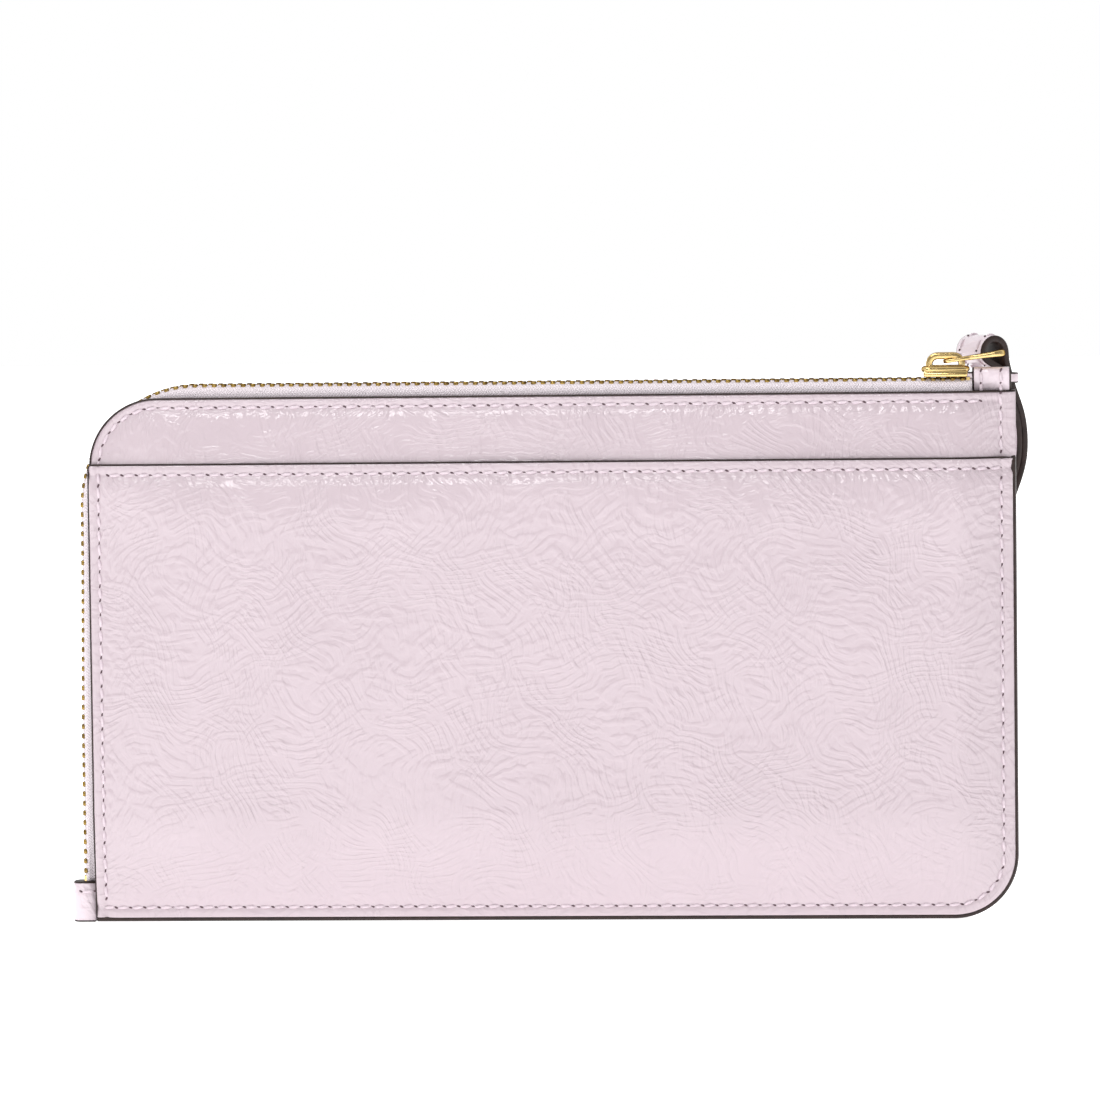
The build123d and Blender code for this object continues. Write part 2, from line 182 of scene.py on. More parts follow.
def rounded_rect(half_u, half_v, radius, corner_steps):
    """Points round a rounded rectangle."""
    radius = min(radius, half_u, half_v)
    points = []
    for turn, (su, sv) in enumerate(((1, 1), (-1, 1), (-1, -1), (1, -1))):
        for step in range(corner_steps + 1):
            angle = (turn + step / corner_steps) * math.pi / 2
            u = su * (half_u - radius) + radius * math.cos(angle)
            v = sv * (half_v - radius) + radius * math.sin(angle)
            points.append((u, v))
    return np.array(points)


def ellipse(half_u, half_v, count=12):
    angles = np.arange(count) * 2 * math.pi / count
    return np.stack([half_u * np.cos(angles), half_v * np.sin(angles)], -1)


SMALLEST_END = 0.02  # square of the size of the last ring of a rounded end


def sweep(path, across, up, section, closed=False, end_round=0.0):
    """A section carried along a path; the ends can be rounded off."""
    rings = []
    run = run_along(path)
    for i in range(len(path)):
        size = 1.0
        if end_round:
            near = min(run[i], run[-1] - run[i])
            size = math.sqrt(max(1 - max(1 - near / end_round, 0.0) ** 2, SMALLEST_END))
        rings.append(path[i] + size * (section[:, 0:1] * across[i] + section[:, 1:2] * up[i]))
    return rings_solid(rings, closed)


def run_along(path):
    """How far along the path each of its points lies."""
    steps = np.linalg.norm(np.diff(path, axis=0), axis=1)
    return np.concatenate([[0], np.cumsum(steps)])


def read_at(runs, run, values):
    """Values given at some runs, read at others."""
    return np.stack([np.interp(runs, run, values[:, k]) for k in range(values.shape[1])], -1)


def tangents(path, closed=False):
    if closed:
        return unit(np.roll(path, -1, axis=0) - np.roll(path, 1, axis=0))
    return unit(np.gradient(path, axis=0))


def resample(path, spacing):
    """Points at an even spacing along a path."""
    run = run_along(path)
    count = max(int(round(run[-1] / spacing)), 1)
    return read_at(np.linspace(0, run[-1], count + 1), run, path)


def arc(centre, radius, start, stop, steps=24):
    """Points on an arc in the XZ plane, angles in degrees from +X towards +Z."""
    angles = np.radians(np.linspace(start, stop, steps + 1))
    return np.stack([centre[0] + radius * np.cos(angles), centre[1] + radius * np.sin(angles)], -1)


# --- Blender helpers ---


def make_object(name, shape, material, body, nodes=(), uv=None):
    """A mesh piece that rides on a body and stands for CAD nodes."""
    verts, faces = shape
    mesh = bpy.data.meshes.new(name)
    mesh.from_pydata((np.asarray(verts) * MM).tolist(), [], faces)
    mesh.polygons.foreach_set("use_smooth", [True] * len(mesh.polygons))
    if uv is not None:
        layer = mesh.uv_layers.new(name="weave")
        loops = np.empty(len(mesh.loops), dtype=np.int64)
        mesh.loops.foreach_get("vertex_index", loops)
        layer.data.foreach_set("uv", np.asarray(uv, np.float32)[loops].ravel())
    mesh.update()
    piece = bpy.data.objects.new(name, mesh)
    bpy.context.scene.collection.objects.link(piece)
    mesh.materials.append(material)
    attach(piece, body)
    if nodes:
        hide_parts(*nodes)
    return piece


def linear(value):
    """sRGB 0-255 to linear."""
    value = value / 255
    return value / 12.92 if value <= 0.04045 else ((value + 0.055) / 1.055) ** 2.4


def rgba(colour):
    return tuple(linear(channel) for channel in colour) + (1.0,)


class Material:
    """A principled material with procedural colour and relief."""

    def __init__(self, name, colour, roughness, **shader_inputs):
        self.material = bpy.data.materials.new(name)
        self.material.use_nodes = True
        self.nodes = self.material.node_tree.nodes
        self.links = self.material.node_tree.links
        self.shader = self.nodes["Principled BSDF"]
        self.colour = rgba(colour)
        self.relief = None
        self.coords = self.node("TexCoord", {}).outputs["Object"]
        self.feed(self.shader, {"Base Color": self.colour, "Roughness": roughness})
        self.feed(self.shader, {"Coat Roughness": 0.1})
        self.feed(self.shader, shader_inputs)

    def feed(self, node, inputs):
        """Gives inputs, by name or index, a value or a link; _ stands for a space in a name."""
        for key, value in inputs.items():
            socket = node.inputs[key.replace("_", " ") if isinstance(key, str) else key]
            if isinstance(value, bpy.types.NodeSocket):
                self.links.new(value, socket)
            else:
                socket.default_value = value

    def node(self, kind, inputs, **settings):
        """A new shader node with its settings and inputs."""
        node = self.nodes.new("ShaderNode" + kind)
        for key, value in settings.items():
            setattr(node, key, value)
        self.feed(node, inputs)
        return node

    def noise(self, per_mm, detail=3.0, stretch=(1, 1, 1)):
        scale = [s * per_mm / MM for s in stretch]
        place = self.node("Mapping", {"Vector": self.coords, "Scale": scale}).outputs["Vector"]
        return self.plain_noise(place, 1.0, detail).outputs["Fac"]

    def plain_noise(self, place, scale, detail):
        return self.node("TexNoise", {"Vector": place, "Scale": scale, "Detail": detail})

    def wrinkle(self, period, angle, offset, swirl):
        """Curved ridges, a period in mm apart, whose direction wanders and that fade in and out."""
        mapping = {
            "Vector": self.coords, "Location": [offset] * 3,
            "Rotation": (0.0, math.radians(angle), 0.0), "Scale": [1 / MM] * 3,
        }
        place = self.node("Mapping", mapping).outputs["Vector"]
        drift = self.plain_noise(place, 0.055, 0.6).outputs["Color"]
        shift = {0: drift, 1: [swirl] * 3, 2: place}
        shifted = self.node("VectorMath", shift, operation="MULTIPLY_ADD").outputs["Vector"]
        waves = {
            "Vector": shifted, "Scale": 2 * math.pi / 20 / period, "Distortion": 4.0,
            "Detail": 1.5, "Detail Scale": 1.1,
        }
        wave = self.node("TexWave", waves, bands_direction="X").outputs["Fac"]
        patches = self.plain_noise(place, 0.2, 2.0).outputs["Fac"]
        return self.math("MULTIPLY", self.step(wave, 0.4, 1.0), self.step(patches, 0.36, 0.56))

    def math(self, kind, a, b=None):
        inputs = {0: a} if b is None else {0: a, 1: b}
        return self.node("Math", inputs, operation=kind).outputs["Value"]

    def span(self, value, lowest, highest, at_lowest, at_highest, kind="LINEAR"):
        """A value mapped from one span to another, and held at its ends."""
        inputs = {
            "Value": value, "From Min": lowest, "From Max": highest,
            "To Min": at_lowest, "To Max": at_highest,
        }
        return self.node("MapRange", inputs, interpolation_type=kind).outputs["Result"]

    def step(self, value, lowest, highest):
        """Smooth 0 to 1 between two values."""
        return self.span(value, lowest, highest, 0.0, 1.0, "SMOOTHSTEP")

    def ramp(self, noise, low, high):
        return self.span(noise, 0.3, 0.7, low, high)

    def mottle(self, value, other):
        """Mixes towards another colour where the value is high."""
        inputs = {"A": self.colour, "B": rgba(other), "Factor": value}
        mix = self.node("Mix", inputs, data_type="RGBA")
        self.links.new(mix.outputs["Result"], self.shader.inputs["Base Color"])

    def bump(self, value, height_mm):
        inputs = {"Height": value, "Strength": 1.0, "Distance": height_mm * MM}
        if self.relief is not None:
            inputs["Normal"] = self.relief
        self.relief = self.node("Bump", inputs).outputs["Normal"]
        self.feed(self.shader, {"Normal": self.relief, "Coat Normal": self.relief})

    def rough(self, value):
        self.feed(self.shader, {"Roughness": value})


# --- Materials ---


WRINKLES = (
    # spacing in mm, direction in degrees, offset in mm, how far in mm the lines wander
    (2.4, 35.0, 0.0, 30.0),
    (2.1, 100.0, 37.0, 26.0),
    (2.8, 160.0, 81.0, 36.0),
)


def leather_material(name, colour, shade, wrinkle_mm):
    """Patent leather: fine grain and thin raised wrinkles under a clear coat."""
    leather = Material(name, colour, 0.42, Coat_Weight=0.9)
    leather.mottle(leather.ramp(leather.noise(0.06), 0.0, 1.0), shade)
    leather.bump(leather.noise(2.4, 4.0), 0.014)
    for wrinkles in WRINKLES:
        leather.bump(leather.wrinkle(*wrinkles), wrinkle_mm)
    leather.rough(leather.ramp(leather.noise(0.9), 0.36, 0.48))
    return leather.material


def mottled(name, colour, other, roughness, spots, grain, height_mm, **shader_inputs):
    """Two mixed colours and a grain; spots and grain are what Material.noise takes."""
    made = Material(name, colour, roughness, **shader_inputs)
    made.mottle(made.ramp(made.noise(*spots), 0, 1), other)
    made.bump(made.noise(*grain), height_mm)
    return made


def metal(name, colour, other, roughness, spots, height_mm, rim):
    """Polished metal whose gloss at grazing angles has the colour of the rim."""
    tint = {"Metallic": 1.0, "Specular_Tint": rgba(rim)}
    return mottled(name, colour, other, roughness, (spots,), (3.0,), height_mm, **tint)


panel_leather = leather_material("patent_leather", (194, 178, 185), (197, 181, 188), 0.054)
strap_leather = leather_material("strap_leather", (218, 202, 210), (222, 207, 214), 0.04)
edge_paint = mottled(
    "edge_paint", (36, 25, 24), (54, 40, 37), 0.45, (0.8,), (1.6,), 0.03, Specular_IOR_Level=0.3
).material
strap_inner = mottled(
    "strap_inner_leather", (50, 36, 31), (68, 51, 45), 0.5, (0.9,), (2.2, 4.0), 0.03,
    Specular_IOR_Level=0.35,
).material
thread = mottled(
    "thread", (224, 209, 216), (206, 190, 199), 0.5, (1.4,), (5.0, 2.0), 0.05
).material
gold_metal = metal("gold_metal", (214, 184, 122), (226, 198, 140), 0.16, 0.35, 0.002, (110, 84, 48))
gold_metal.rough(gold_metal.ramp(gold_metal.noise(1.2), 0.12, 0.24))
gold = gold_metal.material
tooth_metal = metal(
    "tooth_metal", (168, 140, 78), (98, 76, 38), 0.28, 0.8, 0.01, (90, 70, 40)
).material
slot_leather = mottled(
    "slot_leather", (226, 208, 214), (232, 216, 222), 0.5, (0.2,), (1.5, 4.0), 0.04,
    Coat_Weight=0.2, Coat_Roughness=0.3,
).material
lining = mottled(
    "lining_fabric", (168, 150, 146), (146, 128, 126), 0.85, (1.0, 2.0, (1, 1, 6)),
    (2.5, 2.0, (1, 1, 4)), 0.06,
).material
board = mottled(
    "stiffener_board", (168, 148, 124), (142, 122, 100), 0.85, (0.6, 5.0), (2.0, 4.0), 0.05
).material
# needle holes: a dark colour painted as the shade inside the holes and the thread's shadow
needle_hole_shade = Material("needle_hole_shade", (104, 82, 90), 0.8)
needle_hole_shade.mottle(needle_hole_shade.ramp(needle_hole_shade.noise(3.0), 0, 1), (80, 62, 68))
needle_hole_shade = needle_hole_shade.material


def tape_material():
    """Woven tape: fine herringbone rows that run along the chain."""
    tape = Material("zipper_tape", (214, 202, 208), 0.75)
    uv = tape.node("UVMap", {}, uv_map="weave").outputs["UV"]
    split = tape.node("SeparateXYZ", {"Vector": uv})
    along, across = split.outputs["X"], split.outputs["Y"]

    def times(value, factor):
        return tape.math("MULTIPLY", value, factor)

    def plus(value, other):
        return tape.math("ADD", value, other)

    zigzag = tape.math("PINGPONG", across, 0.55)
    twill = tape.math("SINE", times(plus(along, zigzag), 9.5))
    rows = tape.math("SINE", times(across, 11.4))
    weave = plus(times(plus(times(twill, 0.85), times(rows, 0.2)), 0.4), 0.5)
    tape.mottle(weave, (242, 233, 238))
    tape.bump(weave, 0.15)
    return tape.material


zipper_tape = tape_material()


# --- Leather sheets ---


CRINKLE_CELL, CRINKLE_MARGIN = 0.3, 3.0  # of the height maps
RIDGE_GAP, RIDGE_MEAN, RIDGE_SHORTEST, RIDGE_LONGEST = 1.45, 6.0, 2.5, 15.0
RIDGE_STRIDE = 0.28  # how far a ridge is drawn at a time
RIDGE_REACH = 4  # cells on either side that a ridge fades out in


def crinkle_map(seed):
    """Height map of the crinkled leather: short flowing ridges, 0 to 1."""
    local = np.random.default_rng(seed)
    cell = CRINKLE_CELL
    width, height = RIGHT - LEFT + 2 * CRINKLE_MARGIN, TOP + 2 * CRINKLE_MARGIN
    columns, rows = int(width / cell), int(height / cell)
    field = np.zeros((rows, columns), np.float32)
    count = int(width * height / (RIDGE_GAP * RIDGE_MEAN))
    x = local.uniform(0, width, count)
    z = local.uniform(0, height, count)
    waves = [
        (local.uniform(0.02, 0.09), local.uniform(0, 6.28), local.uniform(0, 6.28))
        for _ in range(6)
    ]
    flow = sum(
        np.sin(rate * (x * math.cos(turn) + z * math.sin(turn)) * 2 + phase)
        for rate, turn, phase in waves
    )
    heading = 0.75 * flow + local.normal(0, 0.55, count)
    length = local.gamma(3.0, RIDGE_MEAN / 3.0, count)
    length = np.clip(length, RIDGE_SHORTEST, RIDGE_LONGEST)
    bend = local.normal(0, 0.07, count)
    strength = local.uniform(0.45, 1.0, count)
    half_width = local.uniform(0.24, 0.38, count)
    reach = range(-RIDGE_REACH, RIDGE_REACH + 1)
    for k in range(int(RIDGE_LONGEST / RIDGE_STRIDE)):
        alive = k * RIDGE_STRIDE < length
        if not alive.any():
            break
        done = np.clip((k * RIDGE_STRIDE + 0.3) / (length + 0.3), 0, 1)
        taper = np.sin(math.pi * done) ** 0.5
        column = np.floor(x / cell).astype(int)
        row = np.floor(z / cell).astype(int)
        for r, c in ((row + dr, column + dc) for dr in reach for dc in reach):
            inside = alive & (r >= 0) & (r < rows) & (c >= 0) & (c < columns)
            gap2 = ((c + 0.5) * cell - x) ** 2 + ((r + 0.5) * cell - z) ** 2
            value = strength * taper * np.exp(-gap2 / (2 * half_width**2))
            np.maximum.at(field, (r[inside], c[inside]), value[inside])
        heading = heading + bend * RIDGE_STRIDE
        x = x + np.cos(heading) * RIDGE_STRIDE
        z = z + np.sin(heading) * RIDGE_STRIDE
    return field


def sample(field, x, z):
    """Bilinear reading of a height map."""
    c = np.clip((x - LEFT + CRINKLE_MARGIN) / CRINKLE_CELL - 0.5, 0, field.shape[1] - 1.001)
    r = np.clip((z + CRINKLE_MARGIN) / CRINKLE_CELL - 0.5, 0, field.shape[0] - 1.001)
    c0, r0 = c.astype(int), r.astype(int)
    fc, fr = c - c0, r - r0
    top = field[r0 + 1, c0] * (1 - fc) + field[r0 + 1, c0 + 1] * fc
    bottom = field[r0, c0] * (1 - fc) + field[r0, c0 + 1] * fc
    return bottom * (1 - fr) + top * fr


def zip_gap(x, z):
    """Distance inside the left and top edges, which the zipper follows round their corner."""
    cx, cz = LEFT + ZIP_CORNER_R, TOP - ZIP_CORNER_R
    corner = (x < cx) & (z > cz)
    round_gap = ZIP_CORNER_R - np.hypot(x - cx, z - cz)
    return np.where(corner, round_gap, np.minimum(x - LEFT, TOP - z))


def sewn_gap(x, z, right):
    """Distance inside the bottom edge and a right edge, with their round corner."""
    cx, cz = right - BR_R, EDGE_Z + BR_R
    corner = (x > cx) & (z < cz)
    round_gap = BR_R - np.hypot(x - cx, z - cz)
    return np.where(corner, round_gap, np.minimum(right - x, z - EDGE_Z))


CORNER_ROWS = 26
COARSE_ROWS = 24  # over the part of the back panel that the slip pocket hides
COARSE = 4  # steps of the outer face to one of the inner face


def sheet_rows(bottom, top, tl_r, br_r, step, coarse_below):
    """Row heights, finer where a corner turns."""
    turn = np.linspace(0, math.pi / 2, CORNER_ROWS + 1)
    start, stop = bottom + br_r, top - tl_r
    rows = [bottom + br_r * (1 - np.cos(turn[:-1]))]
    if coarse_below is not None:
        rows.append(np.linspace(start, coarse_below, COARSE_ROWS)[:-1])
        start = coarse_below
    rows.append(np.linspace(start, stop, int(round((stop - start) / step)) + 1))
    if tl_r:
        rows.append(stop + tl_r * np.sin(turn[1:]))
    return np.concatenate(rows)


def make_sheet(side, depth, outline, detail, step, coarse_below=None):
    """A leather sheet: a finely detailed outer face, closed by a coarser inner face."""
    left, right, bottom, top, tl_r, br_r = outline
    heights = sheet_rows(bottom, top, tl_r, br_r, step, coarse_below)
    spare = (len(heights) - 1) % COARSE
    middle = len(heights) // 2
    heights = np.delete(heights, np.arange(middle, middle + spare))
    over = np.clip(heights - (top - tl_r), 0, tl_r)
    x_left = left + tl_r - np.sqrt(np.maximum(tl_r**2 - over**2, 0))
    under = np.clip(bottom + br_r - heights, 0, br_r)
    x_right = right - br_r + np.sqrt(np.maximum(br_r**2 - under**2, 0))
    columns = int(round((right - left) / step / COARSE)) * COARSE
    share = np.linspace(0, 1, columns + 1)
    x = x_left[:, None] * (1 - share) + x_right[:, None] * share
    z = np.repeat(heights[:, None], columns + 1, axis=1)
    y = side * (half_cavity(x, z) + depth + LEATHER_T + detail(x, z))
    outer = np.stack([x, y, z], -1)
    inner = outer[::COARSE, ::COARSE].copy()
    inner[..., 1] = side * (half_cavity(inner[..., 0], inner[..., 2]) + depth)
    index = np.arange(outer[..., 0].size).reshape(outer.shape[:2])
    index_i = index.size + np.arange(inner[..., 0].size).reshape(inner.shape[:2])

    def quads(grid):
        cells = np.stack([grid[:-1, :-1], grid[:-1, 1:], grid[1:, 1:], grid[1:, :-1]], -1)
        return cells.reshape(-1, 4)

    faces = quads(index).tolist() + quads(index_i)[:, ::-1].tolist()
    borders = (
        (index[0, ::-1], index_i[0, ::-1]),
        (index[-1], index_i[-1]),
        (index[:, 0], index_i[:, 0]),
        (index[::-1, -1], index_i[::-1, -1]),
    )
    for fine, rough in borders:
        for j in range(len(rough) - 1):
            strip = fine[j * COARSE : (j + 1) * COARSE + 1].tolist()
            faces.append(strip + [int(rough[j + 1]), int(rough[j])])
    if side > 0:
        faces = [face[::-1] for face in faces]
    return np.concatenate([outer.reshape(-1, 3), inner.reshape(-1, 3)]), faces


SIDE_COVER = 0.08  # how far the leather laps over the paint on the right side
PANEL_COVER = 0.85  # the same for the back panel
FOOT_BARE = 0.2  # the pocket leather stops this far above the paint
CRINKLE = 0.07  # height of the ridges
GROOVE, GROOVE_WIDTH = 0.32, 0.55  # of a stitch line
PUFF, PUFF_WIDTH = 0.38, 3.2  # how high and over what width the leather rises inside it
PUCKER, PUCKER_RATE = 0.085, 2.6  # height of the gathers, and radians of their waves to a mm
EDGE_INSET = 0.4  # where the leather ends and its painted edge begins
ROUNDING, EDGE_DROP = 0.9, 0.3  # width and depth of the rounding towards a painted edge
DENT_INSET, DENT_WIDTH = 4.0, 8.0  # where the dents begin, and over what width they grow
# each dent's waves: radians to half a mm, direction, phase, height
DENTS = [
    (rng.uniform(0.02, 0.07), rng.uniform(0, 6.28), rng.uniform(0, 6.28), rng.uniform(0.03, 0.08))
    for _ in range(7)
]


def dents(x, z):
    """Slow unevenness of soft leather."""
    total = 0.0
    for rate, turn, phase, height in DENTS:
        way = x * math.cos(turn) + z * math.sin(turn)
        total = total + height * np.sin(rate * 2 * way + phase)
    return total


def seam_profile(gap, seam):
    """Groove of a stitch line, with the leather puffed up inside it."""
    inside = gap - seam
    groove = -GROOVE * np.exp(-((inside / GROOVE_WIDTH) ** 2))
    puff = PUFF * smooth(inside / PUFF_WIDTH) * (1 - 0.6 * smooth((inside - 3.5) / 14))
    return groove + puff


def puckers(x, z, gap, seam, crinkle):
    """Small gathers square to a stitch line, just inside it."""
    waves = np.sin(PUCKER_RATE * (x + 0.7 * z) + 3.0 * sample(crinkle, x, z))
    return PUCKER * waves * np.exp(-(((gap - seam - 1.3) / 0.9) ** 2))


def calm(gap):
    """How strongly the leather crinkles: less near a seam."""
    return 0.25 + 0.75 * smooth((gap - 2.6) / 2.0)


def edge_drop(gap):
    """Rounding towards a painted edge."""
    share = np.clip(1 - gap / ROUNDING, 0, 1)
    return -EDGE_DROP * (1 - np.sqrt(np.maximum(1 - share**2, 0)))


def relief(x, z, gap, seam, crinkle, seams, rim):
    """All of a sheet's relief, from its distances to its edges and from its seams."""
    ridges = CRINKLE * sample(crinkle, x, z) * calm(gap) + puckers(x, z, gap, seam, crinkle)
    inside = smooth((gap - DENT_INSET) / DENT_WIDTH)
    return ridges + seams + edge_drop(rim) + inside * dents(x, z)


def panel_detail(crinkle, cover):
    """Relief of a whole panel, whose leather laps by the cover over the paint on the right."""

    def detail(x, z):
        gap_zip, gap_sewn = zip_gap(x, z), sewn_gap(x, z, EDGE_R)
        seams = np.where(
            gap_zip < gap_sewn, seam_profile(gap_zip, TOP_SEAM), seam_profile(gap_sewn, SIDE_SEAM)
        )
        rim = np.minimum(gap_zip, sewn_gap(x, z, EDGE_R + cover)) - EDGE_INSET
        return relief(x, z, np.minimum(gap_zip, gap_sewn), TOP_SEAM, crinkle, seams, rim)

    return detail


def pocket_detail(x, z):
    """Relief of the slip pocket."""
    gap_left, gap_mouth, gap_sewn = x - LEFT, MOUTH_Z - z, sewn_gap(x, z, EDGE_R)
    gap = np.minimum(np.minimum(gap_left, gap_mouth), gap_sewn)
    seams = (
        seam_profile(gap_left, TOP_SEAM)
        + seam_profile(gap_mouth, SIDE_SEAM)
        + seam_profile(gap_sewn, SIDE_SEAM)
    )
    return relief(x, z, gap, SIDE_SEAM, crinkle_back, seams, gap - EDGE_INSET + 0.3)


FINE, FINE_QUICK = 0.43, 0.62  # steps of the leather's outer face
fine = FINE
crinkle_back = crinkle_map(3)
crinkle_front = crinkle_map(8)
back_detail = panel_detail(crinkle_back, PANEL_COVER)
front_detail = panel_detail(crinkle_front, SIDE_COVER)


def panel_outline(cover):
    radius = ZIP_CORNER_R - EDGE_INSET
    return LEFT + EDGE_INSET, EDGE_R + cover, EDGE_Z, TOP - EDGE_INSET, radius, BR_R


POCKET_OUTLINE = (
    POCKET_LEFT + EDGE_INSET, EDGE_R + SIDE_COVER, EDGE_Z + FOOT_BARE, MOUTH_Z - EDGE_INSET,
    0, BR_R,
)
HIDDEN_BELOW = 97.0  # the slip pocket hides the back panel below this height
for piece_name, node_name, sheet in (
    ("slip_pocket", "slip_pocket_panel",
     make_sheet(-1, POCKET_DEPTH, POCKET_OUTLINE, pocket_detail, fine)),
    ("back_leather", "back_panel",
     make_sheet(-1, PANEL_DEPTH, panel_outline(PANEL_COVER), back_detail, fine, HIDDEN_BELOW)),
    ("front_leather", "front_panel",
     make_sheet(1, PANEL_DEPTH, panel_outline(SIDE_COVER), front_detail, fine)),
):
    make_object(piece_name, sheet, panel_leather, "wallet", [node_name])


def surface_y(side, x, z, pocket):
    """Outer face of the leather at a place."""
    if side > 0:
        return half_cavity(x, z) + PANEL_DEPTH + LEATHER_T + front_detail(x, z)
    if pocket:
        return -(half_cavity(x, z) + POCKET_DEPTH + LEATHER_T + pocket_detail(x, z))
    return -(half_cavity(x, z) + PANEL_DEPTH + LEATHER_T + back_detail(x, z))


# --- Painted edges ---


def zip_edge_path(inset, bottom, right):
    """Up the left edge, round the corner and along the top, inset from the panel outline."""
    centre = (LEFT + ZIP_CORNER_R, TOP - ZIP_CORNER_R)
    corner = arc(centre, ZIP_CORNER_R - inset, 180, 90, 30)
    up = np.stack([np.full(60, LEFT + inset), np.linspace(bottom, centre[1], 61)[:-1]], -1)
    along = np.linspace(centre[0], right, 121)[1:]
    return np.concatenate([up, corner, np.stack([along, np.full(120, TOP - inset)], -1)])


def edge_bead(side, depth, path):
    """A painted edge that follows a path in the plane of the panels."""
    x, z = path[:, 0], path[:, 1]
    y = side * (half_cavity(x, z) + depth + LEATHER_T / 2 + 0.01)
    points = np.stack([x, y, z], -1)
    along = tangents(points)
    out = unit(np.cross(along, np.array([0.0, 1.0, 0.0])))
    up = np.cross(out, along)
    return sweep(points, out, up, ellipse(BEAD_W, BEAD_D, 12), end_round=0.4)


BEAD_W, BEAD_D = 0.23, 0.53  # half the bead's width and depth
zip_edges = [
    edge_bead(side, PANEL_DEPTH, zip_edge_path(BEAD_W, EDGE_Z, EDGE_R)) for side in (1, -1)
]
mouth_left, mouth_top, mouth_r = POCKET_LEFT + BEAD_W, MOUTH_Z - BEAD_W, 0.9
mouth_corner = (mouth_left + mouth_r, mouth_top - mouth_r)
pocket_edge = np.concatenate([
    np.stack([np.full(80, mouth_left), np.linspace(EDGE_Z, mouth_corner[1], 80)], -1),
    arc(mouth_corner, mouth_r, 180, 90, 8)[1:],
    np.stack([np.linspace(mouth_corner[0], EDGE_R, 120)[1:], np.full(119, mouth_top)], -1),
])
zip_edges.append(edge_bead(-1, POCKET_DEPTH, pocket_edge))
make_object("painted_edges", join(zip_edges), edge_paint, "wallet")


STEP_IN = LEATHER_T + PLY_GAP + 0.45  # how much thinner the bead is above the pocket's mouth


def seam_bead():
    """Domed paint over the sewn stack, along the bottom and up the right side."""
    corner = (RIGHT - SEAM_CORNER_R, SEAM_CORNER_R)
    low = RIGHT - EDGE_R
    path = np.concatenate([
        np.stack([np.linspace(LEFT, corner[0], 140), np.zeros(140)], -1),
        arc(corner, SEAM_CORNER_R, -90, 0, 30)[1:],
        np.stack([np.full(200, RIGHT), np.linspace(corner[1], TOP, 201)[1:]], -1),
    ])
    front_y = seam_high[1]
    tangent = unit(np.gradient(path, axis=0))
    out = np.stack([tangent[:, 1], -tangent[:, 0]], -1)
    angles = np.linspace(0, math.pi, 13)
    section = [(-low * (1 - math.sin(a) ** 0.35) - 0.02, math.cos(a)) for a in angles]
    section += [(-low - 0.25, -0.96), (-low - 0.25, 0.96)]
    rings = []
    for point, normal in zip(path, out):
        back_y = seam_low[1] + STEP_IN * smooth((point[1] - MOUTH_Z + 0.7) / 1.2)
        y_mid, y_half = (back_y + front_y) / 2, (front_y - back_y) / 2
        rings.append([
            (point[0] + normal[0] * off, y_mid + y_half * v, point[1] + normal[1] * off)
            for off, v in section
        ])
    return rings_solid(rings)


make_object(
    "seam_bead", seam_bead(), edge_paint, "wallet", ["seam_edge_paint"]
)

# --- Stitches ---


def stitch_shape():
    """One stitch, along X, whose ends dive into the leather."""
    rings = []
    for share in np.linspace(-1, 1, 9):
        lift = STITCH_ARCH * (1 - abs(share) ** 2.6) - STITCH_DIVE
        width = STITCH_W / 2 * (1 - 0.55 * abs(share) ** 4)
        height = STITCH_T / 2 * (1 - 0.4 * abs(share) ** 4)
        ring = ellipse(width, height, 10)
        rings.append([(share * STITCH_LEN / 2, u, lift + v) for u, v in ring])
    return rings_solid(rings)


def hole_shadow_shape():
    """A shallow dark slit where the needle went through, painted dark as the shade inside the hole.
    """
    low = ellipse(0.5, 0.25, 10)
    return rings_solid([[(u, v, -0.3) for u, v in low], [(u, v, 0.07) for u, v in low * 0.9]])


stitch, hole_shadow = stitch_shape(), hole_shadow_shape()
# how far the stitches lean from their line; the needle's slits lean the other way
STITCH_LEAN, HOLE_LEAN = math.radians(7.0), math.radians(-28.0)


def leaning(along, out, turn):
    """Directions along a seam, turned about the outward ones."""
    return np.cos(turn) * along + np.sin(turn) * np.cross(out, along)


def sew(points, along, out, hole_size=1.0):
    """Stitches, and needle holes as dark pieces of painted shade, at the given places."""
    lean = leaning(along, out, STITCH_LEAN)
    stitches = copies(stitch, points, lean, np.cross(out, lean), out)
    half = STITCH_PITCH / 2
    hole_points = np.concatenate([points + along * half, points[:1] - along[:1] * half])
    slit = leaning(along, out, HOLE_LEAN)
    slit = hole_size * np.concatenate([slit, slit[:1]])
    slit_out = np.concatenate([out, out[:1]])
    return stitches, copies(hole_shadow, hole_points, slit, np.cross(slit_out, slit), slit_out)


STITCH_STEPS = 4  # points along a seam to one stitch


def sew_panel(side, path, pocket=False):
    """Stitches along a path on a leather face."""
    x, z = resample(path, STITCH_PITCH / STITCH_STEPS).T
    points = np.stack([x, surface_y(side, x, z, pocket), z], -1)
    count = (len(points) - 1) // STITCH_STEPS
    mids = np.arange(count) * STITCH_STEPS + STITCH_STEPS // 2
    along = unit(points[mids + 1] - points[mids - 1])
    out = np.tile([0.0, float(side), 0.0], (count, 1))
    out = unit(out - along * np.sum(out * along, axis=1, keepdims=True))
    return sew(points[mids], along, out)


def corner_path(points, steps=60):
    """A path through corner points, with many points between."""
    path = [np.array(points[:1], float)]
    for a, b in zip(points[:-1], points[1:]):
        share = np.linspace(0, 1, steps + 1)[1:, None]
        path.append(np.array(a) * (1 - share) + np.array(b) * share)
    return np.concatenate(path)


def sewn_path(stop_z):
    """Along the bottom, round the corner and up the right side."""
    inset = SIDE_SEAM
    corner = (EDGE_R - BR_R, EDGE_Z + BR_R)
    return np.concatenate([
        corner_path([(LEFT + 1.2, EDGE_Z + inset), (corner[0], EDGE_Z + inset)]),
        arc(corner, BR_R - inset, -90, 0, 30)[1:],
        corner_path([(EDGE_R - inset, corner[1]), (EDGE_R - inset, stop_z)])[1:],
    ])


